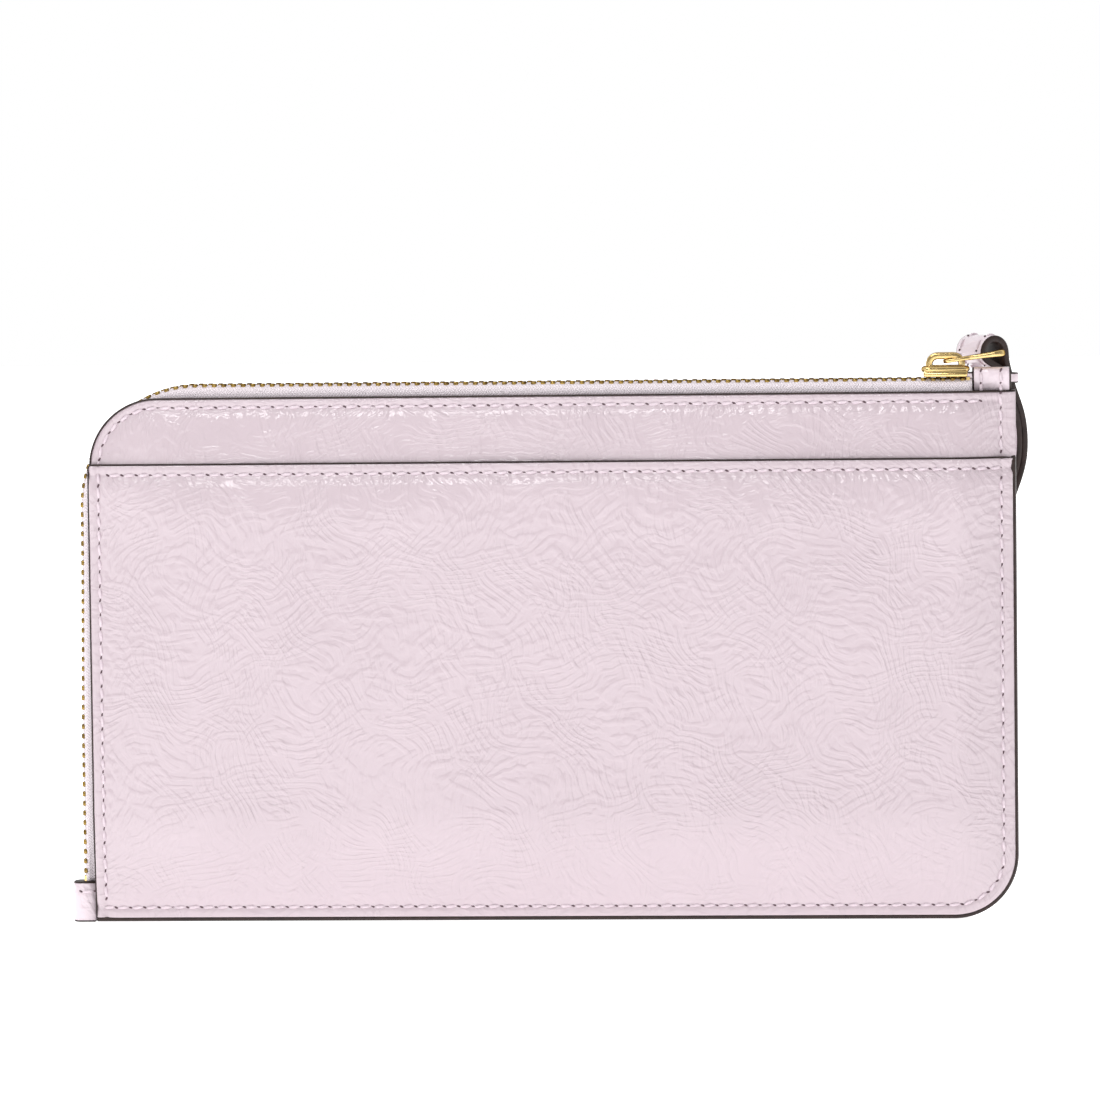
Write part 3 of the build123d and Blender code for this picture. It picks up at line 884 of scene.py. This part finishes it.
def zip_seam(bottom):
    """The seam beside the zipper, from a height on the left edge."""
    return zip_edge_path(TOP_SEAM, bottom, EDGE_R - SIDE_SEAM - 2)


left_line, right_line, mouth_line = LEFT + TOP_SEAM, EDGE_R - SIDE_SEAM, MOUTH_Z - SIDE_SEAM
seam_foot = EDGE_Z + SIDE_SEAM + 2
sewn = [
    sew_panel(1, sewn_path(TOP - 1)),
    sew_panel(1, zip_seam(seam_foot)),
    sew_panel(-1, sewn_path(mouth_line - 1.5), True),
    sew_panel(-1, corner_path([(left_line, seam_foot), (left_line, MOUTH_Z - 0.8)]), True),
    sew_panel(-1, corner_path([(left_line + 2.2, mouth_line), (EDGE_R - 1.2, mouth_line)]), True),
    sew_panel(-1, zip_seam(MOUTH_Z + 0.6)),
    sew_panel(-1, corner_path([(right_line, MOUTH_Z + 1.0), (right_line, TOP - 0.6)])),
]
TAB_SHIFT = 0.4  # the upper tab's place along the zipper, from its CAD piece
tab_low, tab_high = node_box("upper_end_tab")
tab_low = tab_low + (TAB_SHIFT, 0, 0)
tab_high = tab_high + (2 * TAB_SHIFT, 0, 0)
low_tab_low, low_tab_high = node_box("lower_end_tab")


def tab_stitches():
    """Two short lines of stitches across the upper tab and one stitch on the lower, per face."""
    low = tab_low[2] + 0.1
    upper, lower = [], []
    for side in (-1, 1):
        out = np.array([[0.0, float(side), 0.0]] * 2)
        face, low_face = side * (tab_high[1] - 0.02), side * (low_tab_high[1] - 0.02)
        for x in (tab_low[0] + 2.0, tab_high[0] - 2.3):
            points = np.array([[x, face, low], [x, face, low + STITCH_PITCH * 0.84]])
            upper.append(sew(points, np.array([[0.0, 0.0, 1.0]] * 2), out))
        points = np.array([[low_tab_high[0] - 1.7, low_face, 7.0]])
        lower.append(sew(points, np.array([[1.0, 0.0, 0.0]]), out[:1]))
    return upper + lower


def make_sewing(sets, stitch_name, shadow_name, body):
    """Threads and needle holes of some seams as two pieces; the holes are dark pieces of painted
    shade.
    """
    make_object(stitch_name, join([threads for threads, _ in sets]), thread, body)
    make_object(shadow_name, join([hole_shadows for _, hole_shadows in sets]), needle_hole_shade, body)


make_sewing(sewn + tab_stitches(), "panel_stitches", "needle_hole_shadows", "wallet")

# --- Zipper ---

# runs are measured along the chain from its end at the upper tab
TOP_RUN = CHAIN_END_X - CHAIN_CENTRE[0]
ARC_RUN = CHAIN_R * math.pi / 2
TAPE_INNER_R = 18.0
LEFT_PULL_IN = 0.6  # how far the left run leans in under the corner


def chain_frame(run):
    """Place, direction and outward normal of the chain, as arrays in XZ."""
    turn = np.clip((run - TOP_RUN) / CHAIN_R, 0, math.pi / 2)
    past = np.maximum(run - TOP_RUN - ARC_RUN, 0)
    x = np.maximum(CHAIN_END_X - run, CHAIN_CENTRE[0]) - CHAIN_R * np.sin(turn)
    x = x + LEFT_PULL_IN * smooth((run - TOP_RUN) / ARC_RUN) * (1 - smooth(past / 60))
    z = CHAIN_CENTRE[1] + CHAIN_R * np.cos(turn) - past
    along = np.stack([-np.cos(turn), -np.sin(turn)], -1)
    out = np.stack([-np.sin(turn), np.cos(turn)], -1)
    return np.stack([x, z], -1), along, out


TAPE_FLAT_Y = np.array([1.3, 1.6, 1.9, 2.1, 2.27, 2.38, 2.44])
TAPE_DEPTHS = np.concatenate([
    [0.0, 0.12, 0.28, 0.46, 0.64, 0.82, 1.02, 1.26, 1.6, 2.0],
    np.linspace(2.6, CHAIN_R - TAPE_INNER_R, 9),
])


def make_tape(side):
    """Tape that leaves the teeth flat and turns down into the pouch."""
    end = TOP_RUN + ARC_RUN + CHAIN_CENTRE[1] - (low_tab_high[2] + 0.1)
    runs = np.linspace(-0.7, end, 330)
    centre, _, out = chain_frame(runs)
    flat = len(TAPE_FLAT_Y)
    share = smooth(np.linspace(0, 1, flat + 3))
    rings, uv = [], []
    for run, place, normal in zip(runs, centre, out):
        side_y = half_cavity(*(place - normal * TAPE_DEPTHS[:, None]).T) + TAPE_T / 2
        y = side_y.copy()
        y[:flat] = TAPE_FLAT_Y
        for k in range(3, len(share)):
            start_y = TAPE_FLAT_Y[min(k, flat - 1)]
            y[k] = start_y * (1 - share[k]) + side_y[k] * share[k]
        curve = np.stack([y, -TAPE_DEPTHS], -1)
        slope = unit(np.gradient(curve, axis=0))
        across = np.stack([-slope[:, 1], slope[:, 0]], -1) * TAPE_T / 2
        length = run_along(curve)
        skin = np.concatenate([curve + across, (curve - across)[::-1]])
        rings.append([
            (place[0] + normal[0] * v, side * u, place[1] + normal[1] * v) for u, v in skin
        ])
        uv += [(run, at) for at in np.concatenate([length, length[::-1]])]
    return rings_solid(rings), uv


for side, side_name in ((-1, "back"), (1, "front")):
    tape_shape, tape_uv = make_tape(side)
    make_object(
        f"tape_{side_name}", tape_shape, zipper_tape, "wallet",
        [f"zipper_tape_{side_name}"], tape_uv,
    )


TOOTH_STATIONS = (
    # from the slit outwards, with half the width along and square to the chain
    (-0.42, 0.22, 0.20), (-0.34, 0.36, 0.34), (-0.1, 0.42, 0.40), (0.12, 0.36, 0.36),
    (0.36, 0.40, 0.38), (0.62, 0.56, 0.45), (1.3, 0.60, 0.475), (2.0, 0.56, 0.46),
    (2.24, 0.44, 0.36), (2.32, 0.26, 0.22),
)
tooth = rings_solid([
    [(u, y, v) for u, v in rounded_rect(half_x, half_z, 0.2, 2)]
    for y, half_x, half_z in TOOTH_STATIONS
])
side_run = CHAIN_CENTRE[1] - node_box("zipper_bottom_stop")[1][2] - 0.8
for side, side_name in ((-1, "back"), (1, "front")):
    shift = FIRST_TOOTH + (TOOTH_PITCH / 2 if side > 0 else 0)
    count = int((TOP_RUN + ARC_RUN + side_run - shift) / TOOTH_PITCH) + 1
    in_plane = chain_frame(shift + np.arange(count) * TOOTH_PITCH)
    origins, xs, zs = (np.insert(pairs, 1, 0.0, axis=1) for pairs in in_plane)
    ys = np.tile([0.0, float(side), 0.0], (count, 1))
    make_object(
        f"teeth_{side_name}", copies(tooth, origins, xs, ys, zs), tooth_metal, "wallet",
        [f"zipper_teeth_{side_name}"],
    )


def layered(outline, levels):
    """A plate, flat in XY, from an outline function and its (height, inset) levels."""
    return rings_solid([[(u, v, height) for u, v in outline(inset)] for height, inset in levels])


def moved(shape, offset):
    return shape[0] + np.asarray(offset, float), shape[1]


slider_low, slider_high = node_box("zipper_slider")
slider_x = (slider_low[0] + slider_high[0]) / 2
slider_half = (slider_high[0] - slider_low[0]) / 2
slider_half_w = slider_high[1]
BRIDGE_H, BRIDGE_T, BRIDGE_W, BRIDGE_LEN = 3.0, 1.55, 2.4, 8.8
plate_top = slider_high[2] - BRIDGE_H
PLATE_T, FLANGE_DROP = 1.3, 2.4  # the flanges' feet are this far under the plate's top
WEDGE_HALF, FLANGE_T = 4.9, 0.92
TOOTH_TOP = 0.475  # the teeth's tops over the chain's middle line


def plate_outline(inset):
    """Slider plate: broad at the front, where the two rows part, and waisted at the back."""
    points = rounded_rect(slider_half - inset, slider_half_w - inset, 2.0 - inset, 8)
    taper = 1 - 0.16 * smooth((points[:, 0] / slider_half + 1) / 2)
    points[:, 1] *= taper
    return points


def rectangle(half_u, half_v, radius, corner_steps, shift=0.0):
    """An outline function for a rounded rectangle."""

    def outline(inset):
        return rounded_rect(half_u - inset, half_v - inset, radius, corner_steps) + (shift, 0)

    return outline


def bridge(top):
    """The arched bar over the slider's plate."""
    half, radius = BRIDGE_LEN / 2 - BRIDGE_T / 2, 1.9
    foot, crown = top - 0.25, top + BRIDGE_H - BRIDGE_T / 2
    path = np.concatenate([
        corner_path([(-half, foot), (-half, crown - radius)], 4),
        arc((-half + radius, crown - radius), radius, 180, 90, 8)[1:],
        corner_path([(-half + radius, crown), (half - radius, crown)], 6)[1:],
        arc((half - radius, crown - radius), radius, 90, 0, 8)[1:],
        corner_path([(half, crown - radius), (half, foot)], 4)[1:],
    ])
    path = np.insert(path, 1, 0.0, axis=1)
    across = np.tile([0.0, 1.0, 0.0], (len(path), 1))
    up = unit(np.cross(tangents(path), across))
    return sweep(path, across, up, rounded_rect(BRIDGE_W / 2, BRIDGE_T / 2, 0.45, 5))


def make_slider():
    """Plate, side flanges, wedge between the rows of teeth, its web and the bridge."""
    top, bottom, low = plate_top, plate_top - PLATE_T, plate_top - FLANGE_DROP
    plate = (
        (bottom, 0.4), (bottom + 0.14, 0.12), (bottom + 0.34, 0.0), (top - 0.62, 0.0),
        (top - 0.36, 0.1), (top - 0.16, 0.3), (top - 0.04, 0.62), (top, 0.95),
    )
    shapes = [
        layered(plate_outline, plate),
        layered(plate_outline, ((top - 0.1, 1.3), (top + 0.14, 1.35), (top + 0.2, 1.6))),
    ]
    flange = layered(
        rectangle(WEDGE_HALF, FLANGE_T / 2, 0.4, 4),
        ((low, 0.22), (low + 0.12, 0.06), (low + 0.3, 0.0), (bottom + 0.3, 0.0)),
    )
    for side in (-1, 1):
        shapes.append(moved(flange, (0, side * (slider_half_w - 0.62), 0)))
    wedge_top = TOP + CHAIN_OUT - TOOTH_TOP - 0.15
    wedge = (
        (wedge_top - 0.8, 0.25), (wedge_top - 0.65, 0.0), (wedge_top - 0.1, 0.0), (wedge_top, 0.1),
    )
    web = ((wedge_top - 0.1, 0.0), (bottom + 0.1, 0.0))
    shapes.append(layered(rectangle(WEDGE_HALF, 1.65, 0.8, 4), wedge))
    shapes.append(layered(rectangle(1.8, 0.15, 0.1, 2, slider_half / 2), web))
    shapes.append(bridge(top))
    return moved(join(shapes), (slider_x, 0, 0))


make_object("slider_body", make_slider(), gold, "slider", ["zipper_slider"])

PULL_TILT = math.radians(8.0)
PULL_AXIS_Z = 125.0  # height of the hinge under the bridge
EYE_LENGTH = 2.85  # half the eye's length
PULL_STATIONS = (
    # from the pull's axis outwards, with half the width and half the thickness
    (4.9, 1.2, 0.36), (5.05, 1.7, 0.46), (5.6, 2.1, 0.5), (7.0, 2.2, 0.5), (9.0, 2.3, 0.53),
    (11.0, 2.38, 0.6), (12.2, 2.3, 0.68), (12.8, 2.0, 0.68), (13.15, 1.55, 0.58),
    (13.35, 1.0, 0.4), (13.4, 0.6, 0.22),
)


def make_pull():
    """Pull: an eye round the bridge and a plate that thickens to a rounded tip."""
    loop = rounded_rect(EYE_LENGTH, 1.78, 1.35, 8) + (EYE_LENGTH, 0)
    loop = np.insert(loop, 2, 0.0, axis=1)
    up = np.tile([0.0, 0.0, 1.0], (len(loop), 1))
    out = np.cross(tangents(loop, closed=True), up)
    eye = sweep(loop, out, up, rounded_rect(0.52, 0.42, 0.24, 3), closed=True)
    plate = rings_solid([
        [(x, u, v) for u, v in rounded_rect(half_w, half_t, min(half_t, 0.3), 3)]
        for x, half_w, half_t in PULL_STATIONS
    ])
    verts, faces = join([eye, plate])
    x = verts[:, 0] * math.cos(PULL_TILT) - verts[:, 2] * math.sin(PULL_TILT)
    z = verts[:, 0] * math.sin(PULL_TILT) + verts[:, 2] * math.cos(PULL_TILT)
    return np.stack([x + slider_x, verts[:, 1], z + PULL_AXIS_Z], -1), faces


make_object("pull_plate", make_pull(), gold, "pull", ["zipper_pull"])

# --- End tabs and anchor ---

PAINT = 0.42  # length of the painted ends of the tabs


def tab_pieces(profile, start, stop, axis):
    """Leather between two painted ends; the profile is swept along axis 0 or 2."""

    def skin(levels):
        return rings_solid([np.insert(profile(inset), axis, at, axis=1) for at, inset in levels])

    body = skin((
        (start + PAINT - 0.1, 0.2), (start + PAINT, 0.06), (start + PAINT + 0.25, 0.0),
        (stop - PAINT - 0.25, 0.0), (stop - PAINT, 0.06), (stop - PAINT + 0.1, 0.2),
    ))
    ends = [
        skin((
            (at, 0.32), (at + way * 0.06, 0.14), (at + way * 0.18, 0.03),
            (at + way * (PAINT - 0.08), 0.0), (at + way * PAINT, 0.1),
            (at + way * (PAINT + 0.1), 0.3),
        ))
        for at, way in ((start, 1), (stop, -1))
    ]
    return body, ends


def upper_profile(inset):
    """Section of the upper tab, rounded over the top."""
    half, low, high, radius = tab_high[1], tab_low[2], tab_high[2], 1.25
    top = rounded_rect(half - inset, radius, radius, 6)[:14]
    top = [(u, v - radius - inset + high) for u, v in top]
    return top + [(-half + inset, low + inset), (half - inset, low + inset)]


def lower_profile(inset):
    """Plan of the lower tab, rounded on its outer side."""
    left, right, half, radius = low_tab_low[0], low_tab_high[0], low_tab_high[1], 1.8
    points = []
    for centre_y, start in ((half - radius, 90), (-half + radius, 180)):
        for step in range(7):
            angle = math.radians(start + 15 * step)
            points.append((
                left + radius + (radius - inset) * math.cos(angle),
                centre_y + (radius - inset) * math.sin(angle),
            ))
    return points + [(right - inset, -half + inset), (right - inset, half - inset)]


tab_ends = []
for piece_name, node_name, profile, start, stop, axis in (
    ("upper_tab", "upper_end_tab", upper_profile, tab_low[0], tab_high[0], 0),
    ("lower_tab", "lower_end_tab", lower_profile, low_tab_low[2], low_tab_high[2], 2),
):
    tab, ends = tab_pieces(profile, start, stop, axis)
    tab_ends += ends
    make_object(piece_name, tab, strap_leather, "wallet", [node_name])
make_object("tab_edges", join(tab_ends), edge_paint, "wallet")

anchor_low, anchor_high = node_box("strap_anchor_tab")


def make_anchor():
    """The short tab that the strap hangs from, rounded towards its ends."""
    middle = (anchor_low + anchor_high) / 2
    half = (anchor_high - anchor_low) / 2
    rings = []
    for share, inset in (
        (-1, 0.25), (-0.93, 0.05), (-0.8, 0.0), (0.8, 0.0), (0.93, 0.05), (1, 0.25)
    ):
        section = rounded_rect(half[0] - inset, half[2] - inset, 0.9, 4)
        rings.append(middle + np.insert(section, 1, share * half[1], axis=1))
    return rings_solid(rings)


make_object(
    "anchor_tab", make_anchor(), strap_leather, "wallet", ["strap_anchor_tab"]
)

# --- Wrist strap ---

STRAP_TURN = math.radians(35.0)
STRAP_X, STRAP_Y, WRIST_LOOP_Y = 97.0, 12.7, 13.6  # middle of its top, and of its loop
STRAP_W, STRAP_T = 10.0, 1.5
STRAP_SEAM = 3.3  # stitches from the middle of the strap
LEG = STRAP_T / 2 + 0.02  # middle of a leg from the middle of the doubled stem
JOIN_X, JOIN_Z = 101.0, 94.0  # where the legs part below
# the stem from the keeper down: distance along the turned strap, height
STEM = (
    (2.75, 122.0), (3.5, 119.5), (6.0, 113.0), (6.9, 104.5),
    ((JOIN_X - STRAP_X) / math.cos(STRAP_TURN), JOIN_Z),
)
CROWN_S, CROWN_Z, CROWN_R = -0.5, 126.5, 3.15  # the loop over the keeper
FOOT = (93.0, 5.6 + STRAP_T / 2)  # lowest place of the wrist loop
KEEPER_LIFT = 0.8  # the keeper's height over its CAD piece
KEEPER_HALF_U, KEEPER_HALF_V = 3.5, 5.55


def spline(points, first, last, steps):
    """Smooth curve through points, with set directions at its ends."""
    points = np.asarray(points, float)
    chord = np.linalg.norm(np.diff(points, axis=0), axis=1)
    count = len(points)
    matrix, right = np.zeros((count, count)), np.zeros((count, 2))
    matrix[0, 0] = matrix[-1, -1] = 1
    right[0], right[-1] = unit(first), unit(last)
    for i in range(1, count - 1):
        matrix[i, i - 1] = chord[i]
        matrix[i, i] = 2 * (chord[i] + chord[i - 1])
        matrix[i, i + 1] = chord[i - 1]
        right[i] = 3 * (
            chord[i - 1] / chord[i] * (points[i + 1] - points[i])
            + chord[i] / chord[i - 1] * (points[i] - points[i - 1])
        )
    slopes = np.linalg.solve(matrix, right)
    curve = []
    for i in range(count - 1):
        t = np.linspace(0, 1, steps + 1)[:, None]
        h = chord[i]
        part = (
            (2 * t**3 - 3 * t**2 + 1) * points[i] + (t**3 - 2 * t**2 + t) * h * slopes[i]
            + (-2 * t**3 + 3 * t**2) * points[i + 1] + (t**3 - t**2) * h * slopes[i + 1]
        )
        curve.append(part if i == 0 else part[1:])
    return np.concatenate(curve)


def strap_path():
    """Middle of the strap as one closed loop, with its width direction."""
    left = [(CROWN_S - CROWN_R, CROWN_Z)] + [(s - LEG, z) for s, z in STEM]
    left = spline(left, (0, -1), (-0.25, -1), 24)
    right = [(s + LEG, z) for s, z in STEM[::-1]] + [(CROWN_S + CROWN_R, CROWN_Z)]
    right = spline(right, (0.25, 1), (0, 1), 24)
    crown = arc((CROWN_S, CROWN_Z), CROWN_R, 0, 180, 24)[1:-1]
    lower = spline(
        [(JOIN_X - LEG, JOIN_Z), (91.25, 62.0), (83.75, 26.0), FOOT], (-0.25, -1), (1, 0), 40
    )
    lower_back = spline(
        [FOOT, (101.65, 28.0), (102.15, 62.0), (JOIN_X + LEG, JOIN_Z)], (1, 0), (-0.1, 1), 40
    )
    points, widths = [], []
    upper_parts = (True, False, False, True, True)
    parts = (left, lower[1:], lower_back[1:], right[1:], crown[1:])
    for part, upper in zip(parts, upper_parts):
        for u, z in part:
            level = float(smooth((z - 84.0) / 20.0))
            turn = STRAP_TURN * level
            if upper:
                x = STRAP_X + u * math.cos(STRAP_TURN)
                turned_y = STRAP_Y + u * math.sin(STRAP_TURN)
            else:
                x = u
                turned_y = STRAP_Y + (u - STRAP_X) * math.tan(STRAP_TURN)
            y = WRIST_LOOP_Y * (1 - level) + turned_y * level
            points.append((x, y, z))
            widths.append((math.sin(turn), -math.cos(turn), 0.0))
    return np.array(points), np.array(widths)


path, width = strap_path()
apart = np.concatenate([[True], np.diff(run_along(path)) > 0.02])
path, width = path[apart], width[apart]
for _ in range(3):
    path = (np.roll(path, 1, axis=0) + 2 * path + np.roll(path, -1, axis=0)) / 4
strap_out = unit(np.cross(tangents(path, closed=True), width))
half_w = STRAP_W / 2


def strap_layer(v_low, v_high):
    """One of the strap's two leathers, between two depths."""
    section = rounded_rect(half_w - 0.24, (v_high - v_low) / 2, 0.16, 3)
    section = section + (0, (v_high + v_low) / 2)
    return sweep(path, width, strap_out, section, closed=True)


make_object(
    "strap_face", strap_layer(0.02, STRAP_T / 2), strap_leather, "strap",
    ["wrist_strap"],
)
make_object(
    "strap_back", strap_layer(-STRAP_T / 2, -0.02), strap_inner, "strap"
)
strap_edges = []
for side in (-1, 1):
    section = ellipse(0.27, STRAP_T / 2 - 0.02, 14) + (side * (half_w - 0.27), 0)
    strap_edges.append(sweep(path, width, strap_out, section, closed=True))
make_object("strap_edges", join(strap_edges), edge_paint, "strap")


def strap_stitches():
    """A line of stitches along each edge of the strap's outer face."""
    run = run_along(np.concatenate([path, path[:1]]))
    count = int(run[-1] / STITCH_PITCH)
    at = (np.arange(count) + 0.5) * run[-1] / count

    def read(values):
        return read_at(at, run, np.concatenate([values, values[:1]]))

    centre, across, out = read(path), unit(read(width)), unit(read(strap_out))
    along = unit(np.cross(across, out))
    sets = []
    for side in (-1, 1):
        points = centre + side * STRAP_SEAM * across + out * (STRAP_T / 2 - 0.1)
        sets.append(sew(points, along, out, hole_size=0.55))
    return sets


# the strap's needle holes are dark pieces of painted shade
make_sewing(strap_stitches(), "strap_stitches", "strap_hole_shadows", "strap")

keeper_low, keeper_high = node_box("strap_keeper")


def make_keeper():
    """A leather ring round both legs, with painted rims."""
    middle = (keeper_low + keeper_high) / 2 + (0, 0, KEEPER_LIFT)
    half_h = (keeper_high[2] - keeper_low[2]) / 2
    along = np.array([math.cos(STRAP_TURN), math.sin(STRAP_TURN), 0.0])
    across = np.array([math.sin(STRAP_TURN), -math.cos(STRAP_TURN), 0.0])
    plan = rounded_rect(KEEPER_HALF_U, KEEPER_HALF_V, 1.0, 6)
    ring = middle + plan[:, 0:1] * along + plan[:, 1:2] * across
    up = np.tile([0.0, 0.0, 1.0], (len(ring), 1))
    out = unit(np.cross(tangents(ring, closed=True), up))
    band = sweep(ring, out, up, rounded_rect(0.38, half_h - 0.3, 0.12, 3), closed=True)
    rims = []
    for side in (-1, 1):
        section = ellipse(0.4, 0.24, 10) + (0, side * (half_h - 0.24))
        rims.append(sweep(ring, out, up, section, closed=True))
    return band, rims


keeper_band, keeper_rims = make_keeper()
make_object("keeper_band", keeper_band, strap_leather, "strap", ["strap_keeper"])
make_object("keeper_rims", join(keeper_rims), edge_paint, "strap")

# --- CAD pieces that keep their shape ---

for material, names in (
    (lining, ("back_lining", "front_lining")),
    (board, ("back_board", "front_board")),
    (slot_leather, ("card_slot_backing", "card_slot_upper", "card_slot_middle")),
    (slot_leather, ("card_slot_lower", "note_pocket")),
    (gold, ("zipper_top_stops", "zipper_bottom_stop")),
):
    for name in names:
        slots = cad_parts[name].data.materials
        slots.clear()
        slots.append(material)

# --- Floor, light and camera ---

FLOOR_REACH = 3.0
FLOOR_GLOW = 0.95
ROOM_FRONT = 0.32  # brightness of the room on the side that the slip pocket faces
WHITE = (1.0, 1.0, 1.0, 1.0)

floor_mesh = bpy.data.meshes.new("floor")
corners = [(FLOOR_REACH * x, FLOOR_REACH * y, 0) for x, y in ((-1, -1), (1, -1), (1, 1), (-1, 1))]
floor_mesh.from_pydata(corners, [], [(0, 1, 2, 3)])
floor = bpy.data.objects.new("floor", floor_mesh)
bpy.context.scene.collection.objects.link(floor)
floor_white = Material(
    "floor_white", (250, 250, 250), 0.6, Emission_Color=WHITE, Emission_Strength=FLOOR_GLOW
)
floor_mesh.materials.append(floor_white.material)

scene = bpy.context.scene
scene.view_settings.view_transform = "Standard"
scene.view_settings.look = "None"
scene.view_settings.exposure = 0.0


def light_room():
    """White round about, dimmer on the side that the slip pocket faces."""
    world = bpy.data.worlds.new("studio")
    scene.world = world
    world.use_nodes = True
    background = world.node_tree.nodes["Background"]
    nodes, links = world.node_tree.nodes, world.node_tree.links
    coords = nodes.new("ShaderNodeTexCoord")
    split = nodes.new("ShaderNodeSeparateXYZ")
    shade = nodes.new("ShaderNodeMapRange")
    shade.interpolation_type = "SMOOTHSTEP"
    shade.inputs["From Min"].default_value = -0.9
    shade.inputs["From Max"].default_value = 0.35
    shade.inputs["To Min"].default_value = ROOM_FRONT
    shade.inputs["To Max"].default_value = 1.0
    links.new(coords.outputs["Generated"], split.inputs["Vector"])
    links.new(split.outputs["Y"], shade.inputs["Value"])
    links.new(shade.outputs["Result"], background.inputs["Strength"])
    background.inputs["Color"].default_value = WHITE


light_room()


def softbox(name, place, target_z, size, power):
    """A rectangular light that looks at a point over the origin."""
    lamp = bpy.data.lights.new(name, "AREA")
    lamp.shape = "RECTANGLE"
    lamp.size, lamp.size_y = size
    lamp.energy = power
    piece = bpy.data.objects.new(name, lamp)
    scene.collection.objects.link(piece)
    piece.location = place
    way = Vector((0, 0, target_z)) - Vector(place)
    piece.rotation_euler = way.to_track_quat("-Z", "Y").to_euler()


softbox("top_box", (-0.22, -0.3, 0.7), 0.06, (0.36, 0.22), 1.6)
softbox("left_box", (-0.8, -0.4, 0.3), 0.06, (0.25, 0.4), 0.25)
softbox("gleam_box", (-0.15, -1.1, 0.62), 0.1, (0.4, 0.18), 2.0)

# the camera looks from a little to the right and above
AZIMUTH, ELEVATION, ROLL = math.radians(4.0), math.radians(4.0), math.radians(-0.7)
DISTANCE, LENS, SENSOR = 1.5, 218.6, 36.0
AIM = (-0.0006, 0.0, 0.0834)
camera_data = bpy.data.cameras.new("camera")
camera_data.lens = LENS
camera_data.sensor_width = SENSOR
camera = bpy.data.objects.new("camera", camera_data)
scene.collection.objects.link(camera)
back = Vector((
    math.sin(AZIMUTH) * math.cos(ELEVATION), -math.cos(AZIMUTH) * math.cos(ELEVATION),
    math.sin(ELEVATION),
))
camera.location = Vector(AIM) + back * DISTANCE
facing = (-back).to_track_quat("-Z", "Y").to_matrix().to_4x4()
camera.rotation_euler = (facing @ Matrix.Rotation(ROLL, 4, "Z")).to_euler()
scene.camera = camera
